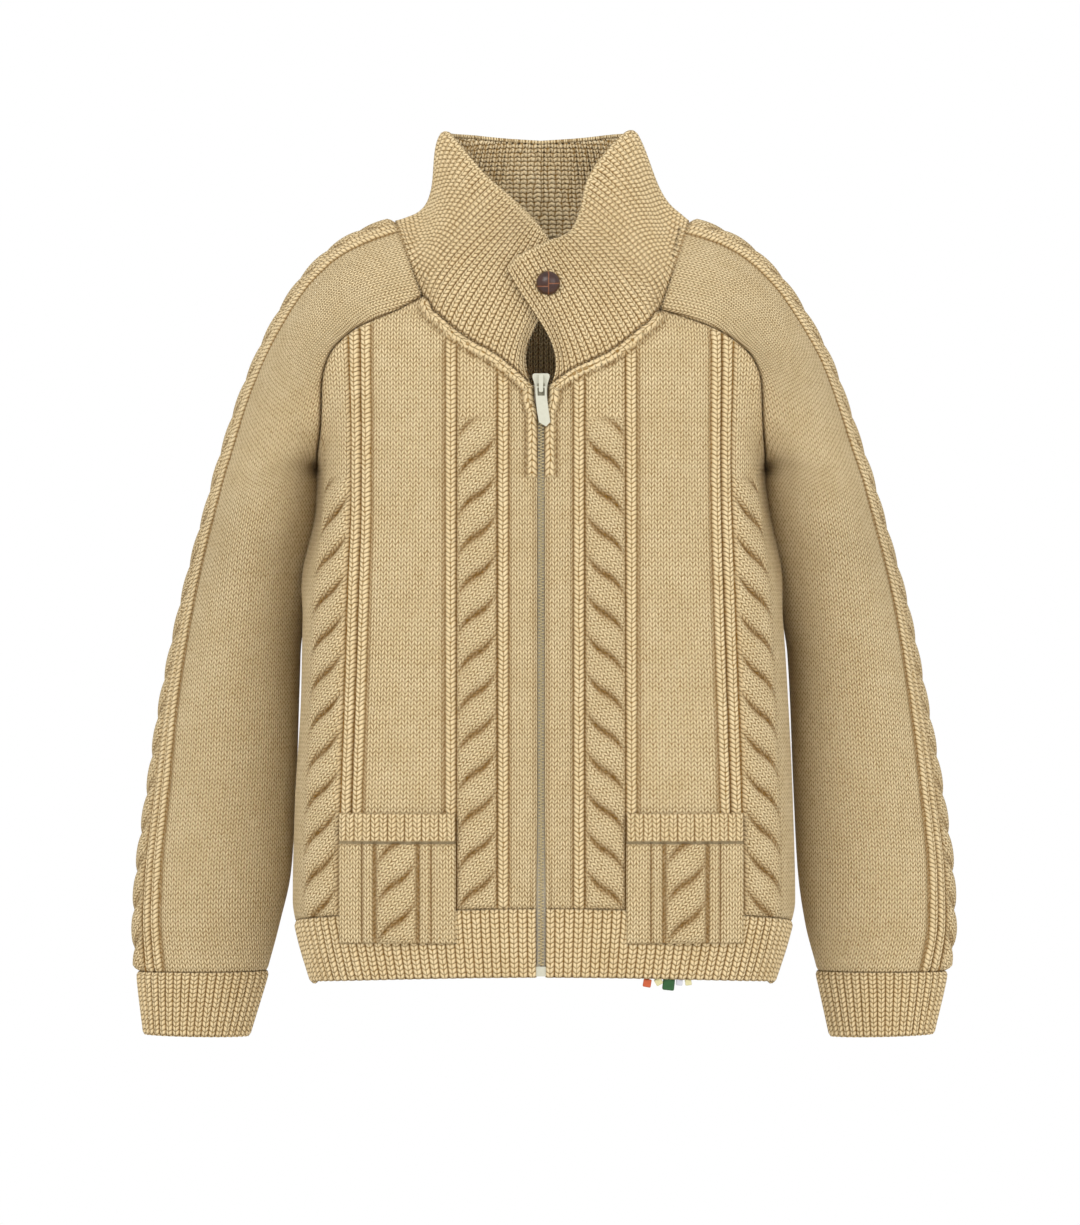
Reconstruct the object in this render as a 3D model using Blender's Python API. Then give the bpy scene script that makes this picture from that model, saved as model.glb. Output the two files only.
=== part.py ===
"""Cable-knit zip cardigan in its worn form, hollow, with no wearer.

Front faces -Y, +Z is up. The origin is the middle of the neck at the height of the side neck,
where the wearer's shoulders hold the garment. Sizes are in millimetres until the last step.
"left" is the side at -X, which is on the left when the front is looked at.

Each cloth piece is a knitted wall: its outer points carry the cables and ribs, its inner
points are plain. The body is a superellipse at each height, a sleeve is an ellipse at each
station from the neck to the cuff, and the raglan seam is where the two meet.
"""
import math

import bmesh
import bpy
import numpy as np

MM = 0.001

# Cloth
WALL = 3.0               # plain cloth from face to face
OUTLINE_INSET = 3.5      # plain cloth lies this far inside the outline, high cables reach past it
CABLE_HEIGHT = 4.8       # strand tops of a cable above plain cloth
CREASE_HEIGHT = 2.0      # creases between the strands
ROPE_HEIGHT = 2.0        # twisted ribs beside the cables
RIB_HEIGHT = 1.8         # ribs of the hem, cuffs and collar
CABLE_PITCH = 33.0       # one crossing to the next
CABLE_LEAN = 18.0        # rise of a strand from one side of a cable to the other
SEAM_GAP = 0.3           # between pieces that are sewn together
COLLAR_SEAM_GAP = 0.8   # the collar's straight steps follow the curved neck edge

# Rib spacing
HEM_RIB = 7.9
CUFF_RIB = 7.1
COLLAR_RIB = 6.6

# Heights of the front
UNDERARM_Z = -215.0
NECK_POINT_Z = -141.0    # where the collar seam meets the zip
HEM_TOP_CENTRE_Z = -582.0
HEM_TOP_DROP = 18.0      # the hem band starts this much lower at the sides
HEM_BOTTOM_CENTRE_Z = -640.0
HEM_BOTTOM_DROP = 9.0
ZIP_EDGE_X = 6.0         # front edge from the middle of the zip

# Pattern columns of front and back, from the middle, along the cloth
ROPES = (31.8, 75.8, 149.5, 159.5)
ROPE_HALF = 4.4
CABLES = ((54.0, 17.0), (185.0, 19.0))    # centre and half width
CABLE_TOPS = (-170.0, -221.0)             # where each cable begins
SIDE_SPREAD = 7.5                         # outer columns move out this much down to the hem
SPREAD_FROM, SPREAD_OVER = 80.0, 65.0

# Pattern columns of a sleeve, from its crest
SLEEVE_CABLE_HALF = 18.0
SLEEVE_ROPE = 25.0

# Pockets: from the middle along the cloth, and heights
POCKET_NEAR, POCKET_FAR = 71.5, 171.0
POCKET_TOP, POCKET_BOTTOM = -502.0, -611.0
POCKET_BAND = 25.0
POCKET_LIFT = 2.3        # clears the ribs it lies on
POCKET_WALL = 2.6


class Table:
    """Rows of sizes with named columns, read along smooth curves that never overshoot."""

    def __init__(self, columns, rows):
        ordered = np.array(sorted(rows), dtype=float)
        self.key = ordered[:, 0]
        self.values = {name: ordered[:, i] for i, name in enumerate(columns.split())}
        self.slopes = {name: self.find_slopes(column) for name, column in self.values.items()}

    def find_slopes(self, column):
        steps = np.diff(self.key)
        rises = np.diff(column) / steps
        slopes = np.zeros(len(column))
        slopes[0], slopes[-1] = rises[0], rises[-1]
        for i in range(1, len(column) - 1):
            before, after = rises[i - 1], rises[i]
            if before * after > 0:
                near, far = 2 * steps[i] + steps[i - 1], steps[i] + 2 * steps[i - 1]
                slopes[i] = (near + far) / (near / before + far / after)
        return slopes

    def at(self, name, where):
        where = np.clip(np.asarray(where, dtype=float), self.key[0], self.key[-1])
        i = np.clip(np.searchsorted(self.key, where, side="right") - 1, 0, len(self.key) - 2)
        step = self.key[i + 1] - self.key[i]
        t = (where - self.key[i]) / step
        low, high = self.values[name][i], self.values[name][i + 1]
        slope_low, slope_high = self.slopes[name][i] * step, self.slopes[name][i + 1] * step
        return (low * (1 + 2 * t) * (1 - t) ** 2 + high * t * t * (3 - 2 * t)
                + slope_low * t * (1 - t) ** 2 + slope_high * t * t * (t - 1))


TORSO = Table(
    "z     half_left  half_right  depth_front  depth_back  squareness", [
        (-12, 190, 190, 80, 84, 2.4),
        (-65, 190, 190, 88, 92, 2.5),
        (-104, 190, 190, 101, 96, 2.9),
        (-141, 190, 190, 108, 99, 3.3),
        (-175, 190, 190, 111, 101, 3.6),
        (-215, 190, 190, 112, 103, 4.0),
        (-238, 190, 192, 112, 103, 4.0),
        (-323, 205, 207, 113, 102, 4.0),
        (-408, 207, 213, 112, 100, 4.0),
        (-493, 212, 217, 111, 101, 4.0),
        (-577, 214, 219, 109, 103, 4.0),
        (-609, 208, 212, 107, 102, 4.0),
        (-650, 196, 199, 103, 99, 4.0),
    ])

# Neck edge of the fronts: distance from the middle at each height
NECK = Table(
    "z     left   right", [
        (-65, 92.5, 99.0),
        (-76, 89.0, 93.0),
        (-84, 82.0, 89.0),
        (-103, 59.5, 70.5),
        (-117, 36.6, 51.0),
        (-130, 20.4, 24.0),
        (-141, 8.5, 8.5),
    ])

NECK_TIP_Z = {"left": -72.0, "right": -82.0}   # lower end of each front's narrow top

# Sleeve stations, neck to cuff. crest: outer line. seam: raglan seam, then the underarm line.
# back: the raglan seam behind. wrap: how far round the section the cloth goes from the crest.
SLEEVE = Table(
    "station crest_left crest_right crest_z seam_left seam_left_z seam_right seam_right_z"
    " back back_z wrap half_depth mid_y", [
        (0, 125, 127, 2, 99.5, -65, 100, -76, 80, -12, 90, 72, 2),
        (1, 150, 152, -7, 119, -76, 122, -83, 97, -26, 90, 76, 1),
        (2, 175, 176, -21, 139, -85, 142, -91, 116, -42, 92, 80, 0),
        (3, 203, 204, -48, 155, -93, 158, -100, 134, -60, 95, 82, 0),
        (4, 228, 230, -87, 168, -104, 170, -110, 152, -80, 100, 83, 0),
        (5, 244, 247, -120, 178, -117, 179, -121, 166, -102, 106, 83, 0),
        (6, 259, 261, -158, 184.7, -141, 185.7, -141, 177, -130, 113, 82, 0),
        (7, 270, 272.5, -192, 186, -175, 187.5, -176, 184, -168, 124, 80, 0),
        (8, 277.5, 281, -217, 189.5, -203, 189.7, -203, 189, -203, 148, 78, 0),
        (9, 283, 287, -238, 190, -215, 190, -215, 190, -215, 180, 77, 0),
        (10, 293, 297, -272, 191, -250, 193, -250, 191, -250, 180, 76, 10),
        (11, 307, 312, -323, 199.5, -310, 202, -310, 199.5, -310, 180, 70, 32),
        (12, 326, 330.5, -411, 203, -400, 209, -400, 203, -400, 180, 60, 48),
        (13, 336.5, 343, -480, 205.5, -475, 212, -475, 205.5, -475, 180, 52, 52),
        (14, 347, 353.5, -558, 210, -553, 216, -553, 210, -553, 180, 46, 54),
        (15, 349.5, 355, -600, 220, -600, 222.5, -600, 220, -600, 180, 42, 54),
        (16, 348, 350, -641, 231, -641, 233, -641, 231, -641, 180, 36, 53),
        (17, 342, 338, -695, 248, -697, 245.5, -697, 248, -697, 180, 31, 52),
    ])
UNDERARM_STATION = 9.0
CUFF_STATION = 16.0
CUFF_END = 17.0

# Collar, by distance along the neck seam from the zip to the middle of the back.
# bend: a third of the way up, rise: two thirds up, top: the edge.
COLLAR_COLUMNS = "along bend_x bend_y bend_z rise_x rise_y rise_z top_x top_y top_z"
COLLAR_BACK = [
    (280, 98, 47, 15, 88, 42, 48, 77, 38, 79),
    (320, 77, 69, 15, 70, 63, 46, 61, 59, 77),
    (361, 39, 78, 16, 37, 73, 46, 33, 68, 74),
    (401, 0, 79, 17, 0, 75, 46, 0, 70, 72),
]
COLLAR = {
    "left": Table(COLLAR_COLUMNS, [
        (0, 11, -103.5, -108, -7, -98.5, -76, -24, -92, -44),
        (15, 12.5, -103, -97, -4, -97.5, -63, -16, -90, -31),
        (37, 24, -101, -83, 7, -96, -49, -7, -88, -18.5),
        (65, 46, -97, -69, 26, -92, -36, 4, -85, -4),
        (98, 70, -88, -50, 45, -84, -21, 17, -79, 9),
        (125, 86, -75, -36, 60, -74, -6, 31, -71, 22),
        (154, 94, -57, -20, 73, -58, 10, 48, -57, 38),
        (187, 97, -32, -3, 84, -35, 28, 66, -35, 60),
        (227, 96, 1, 17, 91, 1, 50, 82, 1, 80),
    ] + COLLAR_BACK),
    "right": Table(COLLAR_COLUMNS, [
        (0, 9.5, -109, -110, -9, -108, -78, -29, -102, -44),
        (15, 14, -108.5, -100, -3, -107.5, -67, -22, -102, -36),
        (32, 25, -107, -92, 8, -106.5, -59, -9, -101.5, -28),
        (56, 44, -102, -80, 24, -102, -48, 6, -99.5, -21),
        (86, 65, -92, -64, 42, -93, -33, 23, -93, -14),
        (116, 83, -79, -47, 56, -80, -17, 33, -80, 4),
        (149, 96, -60, -27, 69, -62, 5, 38, -63, 30),
        (184, 102, -33, -5, 82, -36, 30, 57, -38, 60),
        (224, 104, 1, 21, 92, 1, 50, 79, 1, 81),
    ] + COLLAR_BACK),
}

# Zip, inwards from the front's outline
CHAIN_FACE, CHAIN_BACK = 4.0, 6.5
TAPE_FACE, TAPE_BACK = 6.8, 7.8
CHAIN_HALF = 2.5
TAPE_NEAR, TAPE_FAR = 0.6, 14.0
TAPE_TOP, TAPE_END = -143.0, -638.0
CHAIN_TOP, CHAIN_END = -151.0, -630.0
BOX_HALF, BOX_TOP, BOX_END = 4.2, -630.4, -638.6
SLIDER_TOP, SLIDER_END = -133.5, -150.5
SLIDER_TOP_HALF, SLIDER_END_HALF = 6.2, 5.2
SLIDER_FACE_Y = -110.5
SLIDER_BACK_Y = -104.5
BRIDGE_TOP, BRIDGE_END = -136.5, -147.5
BRIDGE_HALF = 1.2
BRIDGE_BAR = 1.5
BRIDGE_REACH = 6.0
PULL_AXIS_Y, PULL_AXIS_Z = -112.5, -145.0
PULL_BAR = 1.3
PULL_EYE_HALF, PULL_HALF = 2.5, 5.0
PULL_WINDOW = 10.5
PULL_LENGTH = 33.0

# Button on the tab
BUTTON_AT = (6.0, -107.8, -57.8)
BUTTON_HALF, BUTTON_DEEP = 10.0, 7.0
BUTTON_TILT = math.radians(4)

SIGN = {"left": -1.0, "right": 1.0}
LINE_STEPS = np.linspace(0.0, 1.0, 161)

MATERIALS = {
    "wool": ((0.56, 0.44, 0.24), 0.9, 0.0),
    "zip_tape": ((0.62, 0.55, 0.40), 0.85, 0.0),
    "zip_metal": ((0.66, 0.63, 0.52), 0.45, 0.6),
    "button_leather": ((0.075, 0.027, 0.014), 0.4, 0.0),
}


def unit(vectors):
    vectors = np.asarray(vectors, dtype=float)
    return vectors / np.linalg.norm(vectors, axis=-1, keepdims=True)


def smooth_step(value):
    value = np.clip(value, 0.0, 1.0)
    return value * value * (3 - 2 * value)


# ---- sleeve and body surfaces ---------------------------------------------------------------

def sleeve_line(station, side, face):
    """Half a section of the sleeve at each station, from its crest to its seam."""
    station = np.atleast_1d(np.asarray(station, dtype=float))
    crest_x, crest_z = SLEEVE.at("crest_" + side, station), SLEEVE.at("crest_z", station)
    seam_x, seam_z = SLEEVE.at("seam_" + side, station), SLEEVE.at("seam_" + side + "_z", station)
    if face == "back":
        behind = station < UNDERARM_STATION
        seam_x = np.where(behind, SLEEVE.at("back", station), seam_x)
        seam_z = np.where(behind, SLEEVE.at("back_z", station), seam_z)
    wrap = np.radians(SLEEVE.at("wrap", station))
    middle_x = (seam_x - crest_x * np.cos(wrap)) / (1 - np.cos(wrap))
    middle_z = (seam_z - crest_z * np.cos(wrap)) / (1 - np.cos(wrap))
    turn = wrap[:, None] * LINE_STEPS
    x = middle_x[:, None] + (crest_x - middle_x)[:, None] * np.cos(turn)
    z = middle_z[:, None] + (crest_z - middle_z)[:, None] * np.cos(turn)
    reach = SLEEVE.at("half_depth", station)[:, None] * np.sin(turn)
    y = SLEEVE.at("mid_y", station)[:, None] + (reach if face == "back" else -reach)
    return SIGN[side] * x, y, z


def raglan_seam(side, face):
    """The raglan seam from the underarm up: height, distance from the middle, depth."""
    x, y, z = sleeve_line(np.linspace(UNDERARM_STATION, 0.0, 721), side, face)
    return z[:, -1], np.abs(x[:, -1]), np.abs(y[:, -1])


RAGLAN = {(side, face): raglan_seam(side, face) for side in SIGN for face in ("front", "back")}


def torso_line(z, side, face):
    """Half a line round the body at each height, from the middle to the seam or the side."""
    z = np.atleast_1d(np.asarray(z, dtype=float))
    depth, square = TORSO.at("depth_" + face, z), TORSO.at("squareness", z)
    seam_z, seam_x, seam_y = RAGLAN[side, face]
    above = z > UNDERARM_Z
    edge_x, edge_y = np.interp(z, seam_z, seam_x), np.interp(z, seam_z, seam_y)
    through_seam = edge_x / (1 - np.minimum(edge_y / depth, 0.97) ** square) ** (1 / square)
    half = np.where(above, through_seam, TORSO.at("half_" + side, z))
    reach = np.minimum(edge_x / half, 1.0)
    end = np.where(above, np.arcsin(reach ** (square / 2)), math.pi / 2)
    turn = end[:, None] * LINE_STEPS
    power = (2 / square)[:, None]
    x = half[:, None] * np.sin(turn) ** power
    y = depth[:, None] * np.clip(np.cos(turn), 0, 1) ** power
    return SIGN[side] * x, (y if face == "back" else -y), np.broadcast_to(z[:, None], x.shape)


def line_lengths(line):
    x, y, z = line
    steps = np.sqrt(np.diff(x) ** 2 + np.diff(y) ** 2 + np.diff(z) ** 2)
    return np.concatenate([np.zeros((len(x), 1)), np.cumsum(steps, axis=1)], axis=1)


def along(line, distance):
    """The point at a distance along each line."""
    run = line_lengths(line)
    distance = np.atleast_1d(distance)
    i = np.clip((run <= distance[:, None]).sum(axis=1) - 1, 0, run.shape[1] - 2)
    row = np.arange(len(run))
    part = (distance - run[row, i]) / (run[row, i + 1] - run[row, i])
    return np.stack([c[row, i] + part * (c[row, i + 1] - c[row, i]) for c in line], axis=-1)


def torso(u, z, side, face):
    """A point of the body outline: u along the cloth from the middle, at height z."""
    return along(torso_line(z, side, face), u)


def torso_width(z, side, face):
    return line_lengths(torso_line(z, side, face))[:, -1]


def sleeve(u, station, side):
    """A point of the sleeve outline: u along the cloth from the crest, + to the front."""
    u, station = np.atleast_1d(u), np.atleast_1d(station)
    front = along(sleeve_line(station, side, "front"), np.abs(u))
    back = along(sleeve_line(station, side, "back"), np.abs(u))
    return np.where((u >= 0)[:, None], front, back)


def sleeve_width(station, side, face):
    return line_lengths(sleeve_line(station, side, face))[:, -1]


def crest_length():
    stations = np.linspace(0, CUFF_END, 341)
    x, z = SLEEVE.at("crest_left", stations), SLEEVE.at("crest_z", stations)
    run = np.concatenate([[0], np.cumsum(np.hypot(np.diff(x), np.diff(z)))])
    return stations, run


CREST_STATIONS, CREST_RUN = crest_length()


def torso_out(u, z, side, face):
    """Outward direction of the body outline."""
    across = torso(u + 1.5, z, side, face) - torso(np.maximum(u - 1.5, 0), z, side, face)
    down = torso(u, z - 1.5, side, face) - torso(u, z + 1.5, side, face)
    out = unit(np.cross(across, down))
    point = torso(u, z, side, face) * (1, 1, 0)
    return out * np.sign((out * point).sum(axis=-1, keepdims=True))


def level(out):
    """The same directions laid level, for walls that meet at the hem seam."""
    return unit(out * (1, 1, 0))


def in_section(out, station, side):
    """The same directions laid in the sleeve's section, for walls that meet at the cuff seam."""
    long_x = SLEEVE.at("crest_" + side, station) - SLEEVE.at("seam_" + side, station)
    long_z = SLEEVE.at("crest_z", station) - SLEEVE.at("seam_" + side + "_z", station)
    down = unit(np.array([-long_z, 0, SIGN[side] * long_x]))
    return unit(out - (out @ down)[:, None] * down)


def sleeve_out(u, station, side):
    """Outward direction of the sleeve outline."""
    across = sleeve(u + 1.5, station, side) - sleeve(u - 1.5, station, side)
    down = sleeve(u, station + 0.04, side) - sleeve(u, station - 0.04, side)
    out = unit(np.cross(across, down))
    face_x = SIGN[side] * SLEEVE.at("crest_" + side, station)
    seam_x = SIGN[side] * SLEEVE.at("seam_" + side, station)
    seam_z = SLEEVE.at("seam_" + side + "_z", station)
    middle = np.stack([(face_x + seam_x) / 2, SLEEVE.at("mid_y", station) + 0 * face_x,
                       (SLEEVE.at("crest_z", station) + seam_z) / 2], axis=-1)
    early = station < UNDERARM_STATION - 3
    inside = np.where(early[:, None], np.stack([seam_x, 0 * seam_x, seam_z - 40], axis=-1), middle)
    toward = sleeve(u, station, side) - inside
    return out * np.sign((out * toward).sum(axis=-1, keepdims=True))


# ---- the raglan seam: where its two edges lie and which way their walls go -------------------

def raglan_frame(station, side, face):
    """Seam points, the common outward direction there, and the way towards the body."""
    ends = [np.stack([c[:, -1] for c in sleeve_line(s, side, face)], axis=-1)
            for s in (station, np.minimum(station + 0.05, UNDERARM_STATION), station - 0.05)]
    point, tangent = ends[0], unit(ends[1] - ends[2])
    width = torso_width(point[:, 2], side, face)
    body_out = torso_out(width - 2, point[:, 2], side, face)
    turn = 1 if face == "front" else -1
    sleeve_edge = turn * (sleeve_width(station, side, face) - 2)
    common = unit(body_out + sleeve_out(sleeve_edge, station, side) * 0.999)
    low = smooth_step((station - 7) / 2)[:, None]
    common = (1 - low) * common + low * np.array([0, 0, -1.0])
    lengthwise = (common * tangent).sum(axis=-1, keepdims=True) * tangent
    common = unit(common - (1 - low) * lengthwise)
    inward = unit(np.cross(tangent, common))
    guide = np.array([-SIGN[side], 0, -1.0])
    inward = inward * np.sign((inward * guide).sum(axis=-1, keepdims=True))
    return point, common, inward


def seam_room(station):
    """Half the gap at the raglan seam, wider in the armpit where four edges meet."""
    return SEAM_GAP / 2 + 0.35 * smooth_step((station - 7) / 2)


# ---- relief --------------------------------------------------------------------------------

def spread(u, z):
    """Where a pattern column that is u from the middle at the chest lies at height z."""
    low = smooth_step((-235 - z) / 343)
    return u + SIDE_SPREAD * low * np.clip((u - SPREAD_FROM) / SPREAD_OVER, 0, 1)


def cable_height(place):
    """Height at a strand's top (place 0, 1, 2...) or in the crease between two (0.5, 1.5...)."""
    return CREASE_HEIGHT + (CABLE_HEIGHT - CREASE_HEIGHT) * (0.5 + 0.5 * math.cos(2 * math.pi * place))


# ---- walls ---------------------------------------------------------------------------------

def add_material(name):
    colour, roughness, metallic = MATERIALS[name]
    material = bpy.data.materials.get(name) or bpy.data.materials.new(name)
    material.use_nodes = True
    shader = material.node_tree.nodes["Principled BSDF"]
    shader.inputs["Base Color"].default_value = (*colour, 1)
    shader.inputs["Roughness"].default_value = roughness
    shader.inputs["Metallic"].default_value = metallic
    return material


def add_object(name, bm, material, parts):
    """Finish a bmesh in millimetres as a named object in metres."""
    bmesh.ops.recalc_face_normals(bm, faces=bm.faces)
    bmesh.ops.scale(bm, verts=bm.verts, vec=(MM, MM, MM))
    mesh = bpy.data.meshes.new(name)
    bm.to_mesh(mesh)
    bm.free()
    mesh.materials.append(add_material(material))
    made = bpy.data.objects.new(name, mesh)
    parts.objects.link(made)
    return made


def add_grid(bm, points):
    """A grid of faces through rows and columns of points."""
    rows, columns = points.shape[:2]
    made = bmesh.ops.create_grid(bm, x_segments=columns - 1, y_segments=rows - 1, size=1)["verts"]
    for vert, point in zip(made, points.reshape(-1, 3)):
        vert.co = point
    return [made[r * columns:(r + 1) * columns] for r in range(rows)]


def close_edge(bm, fine, fine_at, coarse, coarse_at):
    """The rim between an outer edge and the inner edge behind it, which has fewer points."""
    i = j = 0
    while i < len(fine) - 1 or j < len(coarse) - 1:
        middle = (coarse_at[j] + coarse_at[j + 1]) / 2 if j < len(coarse) - 1 else math.inf
        if i < len(fine) - 1 and fine_at[i + 1] <= middle + 1e-9 or j == len(coarse) - 1:
            bm.faces.new((fine[i], fine[i + 1], coarse[j]))
            i += 1
        else:
            bm.faces.new((fine[i], coarse[j + 1], coarse[j]))
            j += 1


def add_wall(name, outer, inner, rows_at, columns_at, material, parts):
    """A closed wall between an outer grid and a plain inner one.

    rows_at and columns_at give, for the inner rows and columns, their places on the outer grid.
    """
    bm = bmesh.new()
    out, back = add_grid(bm, outer), add_grid(bm, inner)
    rows, columns = list(range(len(out))), list(range(len(out[0])))
    close_edge(bm, out[0], columns, back[0], columns_at)
    close_edge(bm, out[-1], columns, back[-1], columns_at)
    close_edge(bm, [r[0] for r in out], rows, [r[0] for r in back], rows_at)
    close_edge(bm, [r[-1] for r in out], rows, [r[-1] for r in back], rows_at)
    bmesh.ops.triangulate(bm, faces=bm.faces)
    return add_object(name, bm, material, parts)


def every_other(count):
    return list(range(0, count - 1, 2)) + [count - 1]


def keep_rows(count, fixed, step):
    """Every row up to the fixed one, then one in each step, and the last."""
    kept = list(range(min(fixed + 1, count))) + list(range(fixed + step, count - 1, step))
    return kept + [count - 1] if kept[-1] != count - 1 else kept


# ---- front and back ------------------------------------------------------------------------

RAGLAN_STATIONS = np.array([0, 1.5, 3, 4.5, 6, 7, 8, 8.5, 9])


def hem_top(part):
    """Height of the hem band's seam at a part of the way from the middle to the side."""
    return HEM_TOP_CENTRE_Z - HEM_TOP_DROP * part ** 2


def hem_bottom(part):
    return HEM_BOTTOM_CENTRE_Z - HEM_BOTTOM_DROP * part ** 2


def panel_columns():
    """Pattern columns of a front or half the back: place, height, and how far it leans."""
    columns = [(18, 0, 0, None)]
    for i, rope in enumerate(ROPES):
        columns += [(rope - ROPE_HALF, 0, 0, None), (rope, ROPE_HEIGHT, 0, None)]
        if i in (0, 1, 3):
            columns.append((rope + ROPE_HALF, 0, 0, None))
    for number, (centre, half) in enumerate(CABLES):
        columns += [(centre - half / 2, 1, -1, number), (centre + half / 2, 1, 1, number)]
    columns += [(CABLES[1][0] + CABLES[1][1] + 1, 0, 0, None), (112, 0, 0, None),
                (228, 0, 0, None), (246, 0, 0, None)]
    return sorted(columns)


def panel_rows(side, face):
    """Heights of the rows: the raglan stations, then half a cable crossing apart."""
    upper = np.stack([c[:, -1] for c in sleeve_line(RAGLAN_STATIONS, side, face)], axis=-1)[:, 2]
    half_pitch = CABLE_PITCH / 2
    lower = UNDERARM_Z - half_pitch * np.arange(1, 22)
    return np.concatenate([upper, lower, [HEM_TOP_CENTRE_Z]])


def half_panel(side, face):
    """Outer and inner points of one front, or of half the back, and its neck edge."""
    heights = panel_rows(side, face)
    columns = panel_columns()
    count = len(columns) + 2
    frame = raglan_frame(RAGLAN_STATIONS, side, face)
    outer, inner = [], []
    for row, z in enumerate(heights):
        last = row == len(heights) - 1
        width = torso_width(z, side, face)[0]
        if face == "front":
            near = float(NECK.at(side, z)) if z > NECK_POINT_Z - 1 else ZIP_EDGE_X
        else:
            near = 0.0
        near_u = min(near + 0.02 * near, width - 0.3 * count - 0.5) if near > 50 else near
        u = np.array([near_u] + [spread(c[0], z) for c in columns] + [width])
        order = np.arange(count)
        room = seam_room(RAGLAN_STATIONS[row]) if row < len(RAGLAN_STATIONS) else SEAM_GAP / 2
        u[1:-1] = np.clip(u[1:-1], near_u + 0.3 * order[1:-1],
                          width - room - 0.3 * order[::-1][1:-1])
        spacing = np.minimum(np.diff(u, prepend=-99), np.diff(u, append=999))
        edge_fade = np.clip((spacing - 1) / 2, 0, 1)
        height, shear = np.zeros(count), np.zeros(count)
        place = (z - UNDERARM_Z) / CABLE_PITCH
        for i, (_, raised, leaning, cable) in enumerate(columns, start=1):
            if cable is None:
                height[i] = raised if z < -100 or raised == 0 else 0
            elif z < CABLE_TOPS[cable]:
                height[i] = cable_height(place)
                shear[i] = -leaning * CABLE_LEAN / 2
        height *= edge_fade
        z_row = z + shear * (0 if last or row < len(RAGLAN_STATIONS) else 1)
        if row == 0 and face == "front":
            tip = NECK_TIP_Z[side]
            z_row = z + (tip - z) * (width - u) / (width - near_u)
        if row >= len(heights) - 2:
            part = u / width
            z_row = hem_top(part) + SEAM_GAP / 2 if last else z_row - 0.45 * HEM_TOP_DROP * part ** 2
            u = part * torso_width(z_row, side, face)
        if row >= len(RAGLAN_STATIONS):
            u[-1] -= SEAM_GAP / 2
        points = torso(u, z_row, side, face)
        out = torso_out(u, z_row, side, face)
        if last:
            out = level(out)
        if row < len(RAGLAN_STATIONS):
            blend = smooth_step(1 - (width - u) / 16)[:, None]
            out = unit(out * (1 - blend) + frame[1][row] * blend)
            points[-1] = frame[0][row] + frame[2][row] * room
            if row == len(RAGLAN_STATIONS) - 1:
                points[-1, 1] += room * (1 if face == "back" else -1)
        else:
            out[-1] = (SIGN[side], 0, 0)
        outer.append(points + out * (height - OUTLINE_INSET)[:, None])
        inner.append((points, out))
    return np.array(outer), inner


def add_panel(name, halves, material, parts):
    """A front from one half, or the back from its two halves joined in the middle."""
    outers, inners = [], []
    for outer, inner in halves:
        outers.append(outer)
        inners.append(np.array([p - o * (OUTLINE_INSET + WALL) for p, o in inner]))
    if len(halves) == 2:
        outers[0] = outers[0][:, ::-1]
        inners[0] = inners[0][:, ::-1]
        outer = np.concatenate([outers[0], outers[1][:, 1:]], axis=1)
        inner = np.concatenate([inners[0], inners[1][:, 1:]], axis=1)
    else:
        outer, inner = outers[0], inners[0]
    kept = keep_rows(len(outer), len(RAGLAN_STATIONS), 4)
    columns = every_other(outer.shape[1])
    return add_wall(name, outer, inner[kept][:, columns], kept, columns, material, parts)


def add_panels(parts):
    fronts = {side: half_panel(side, "front") for side in SIGN}
    backs = {side: half_panel(side, "back") for side in SIGN}
    for side in SIGN:
        add_panel("front_" + side, [fronts[side]], "wool", parts)
    add_panel("back", [backs["left"], backs["right"]], "wool", parts)
    return fronts, backs


# ---- sleeves and cuffs ---------------------------------------------------------------------

def sleeve_columns():
    """Pattern columns from the crest to one edge: distance, or a part of the rest if over 1000."""
    near = [(SLEEVE_CABLE_HALF / 2, 1, 1), (SLEEVE_CABLE_HALF + 1, 0, 0),
            (SLEEVE_ROPE, ROPE_HEIGHT, 0), (SLEEVE_ROPE + 5, 0, 0)]
    return near, (0.2, 0.4, 0.6, 0.8, 1.0)


def sleeve_stations():
    """Raglan stations, then half a cable crossing apart along the crest, down to the cuff."""
    start = np.interp(UNDERARM_STATION, CREST_STATIONS, CREST_RUN)
    end = np.interp(CUFF_STATION, CREST_STATIONS, CREST_RUN)
    count = int((end - start) / (CABLE_PITCH / 2))
    lower = np.interp(np.linspace(start, end, count + 1)[1:], CREST_RUN, CREST_STATIONS)
    return np.concatenate([RAGLAN_STATIONS, lower])


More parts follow.
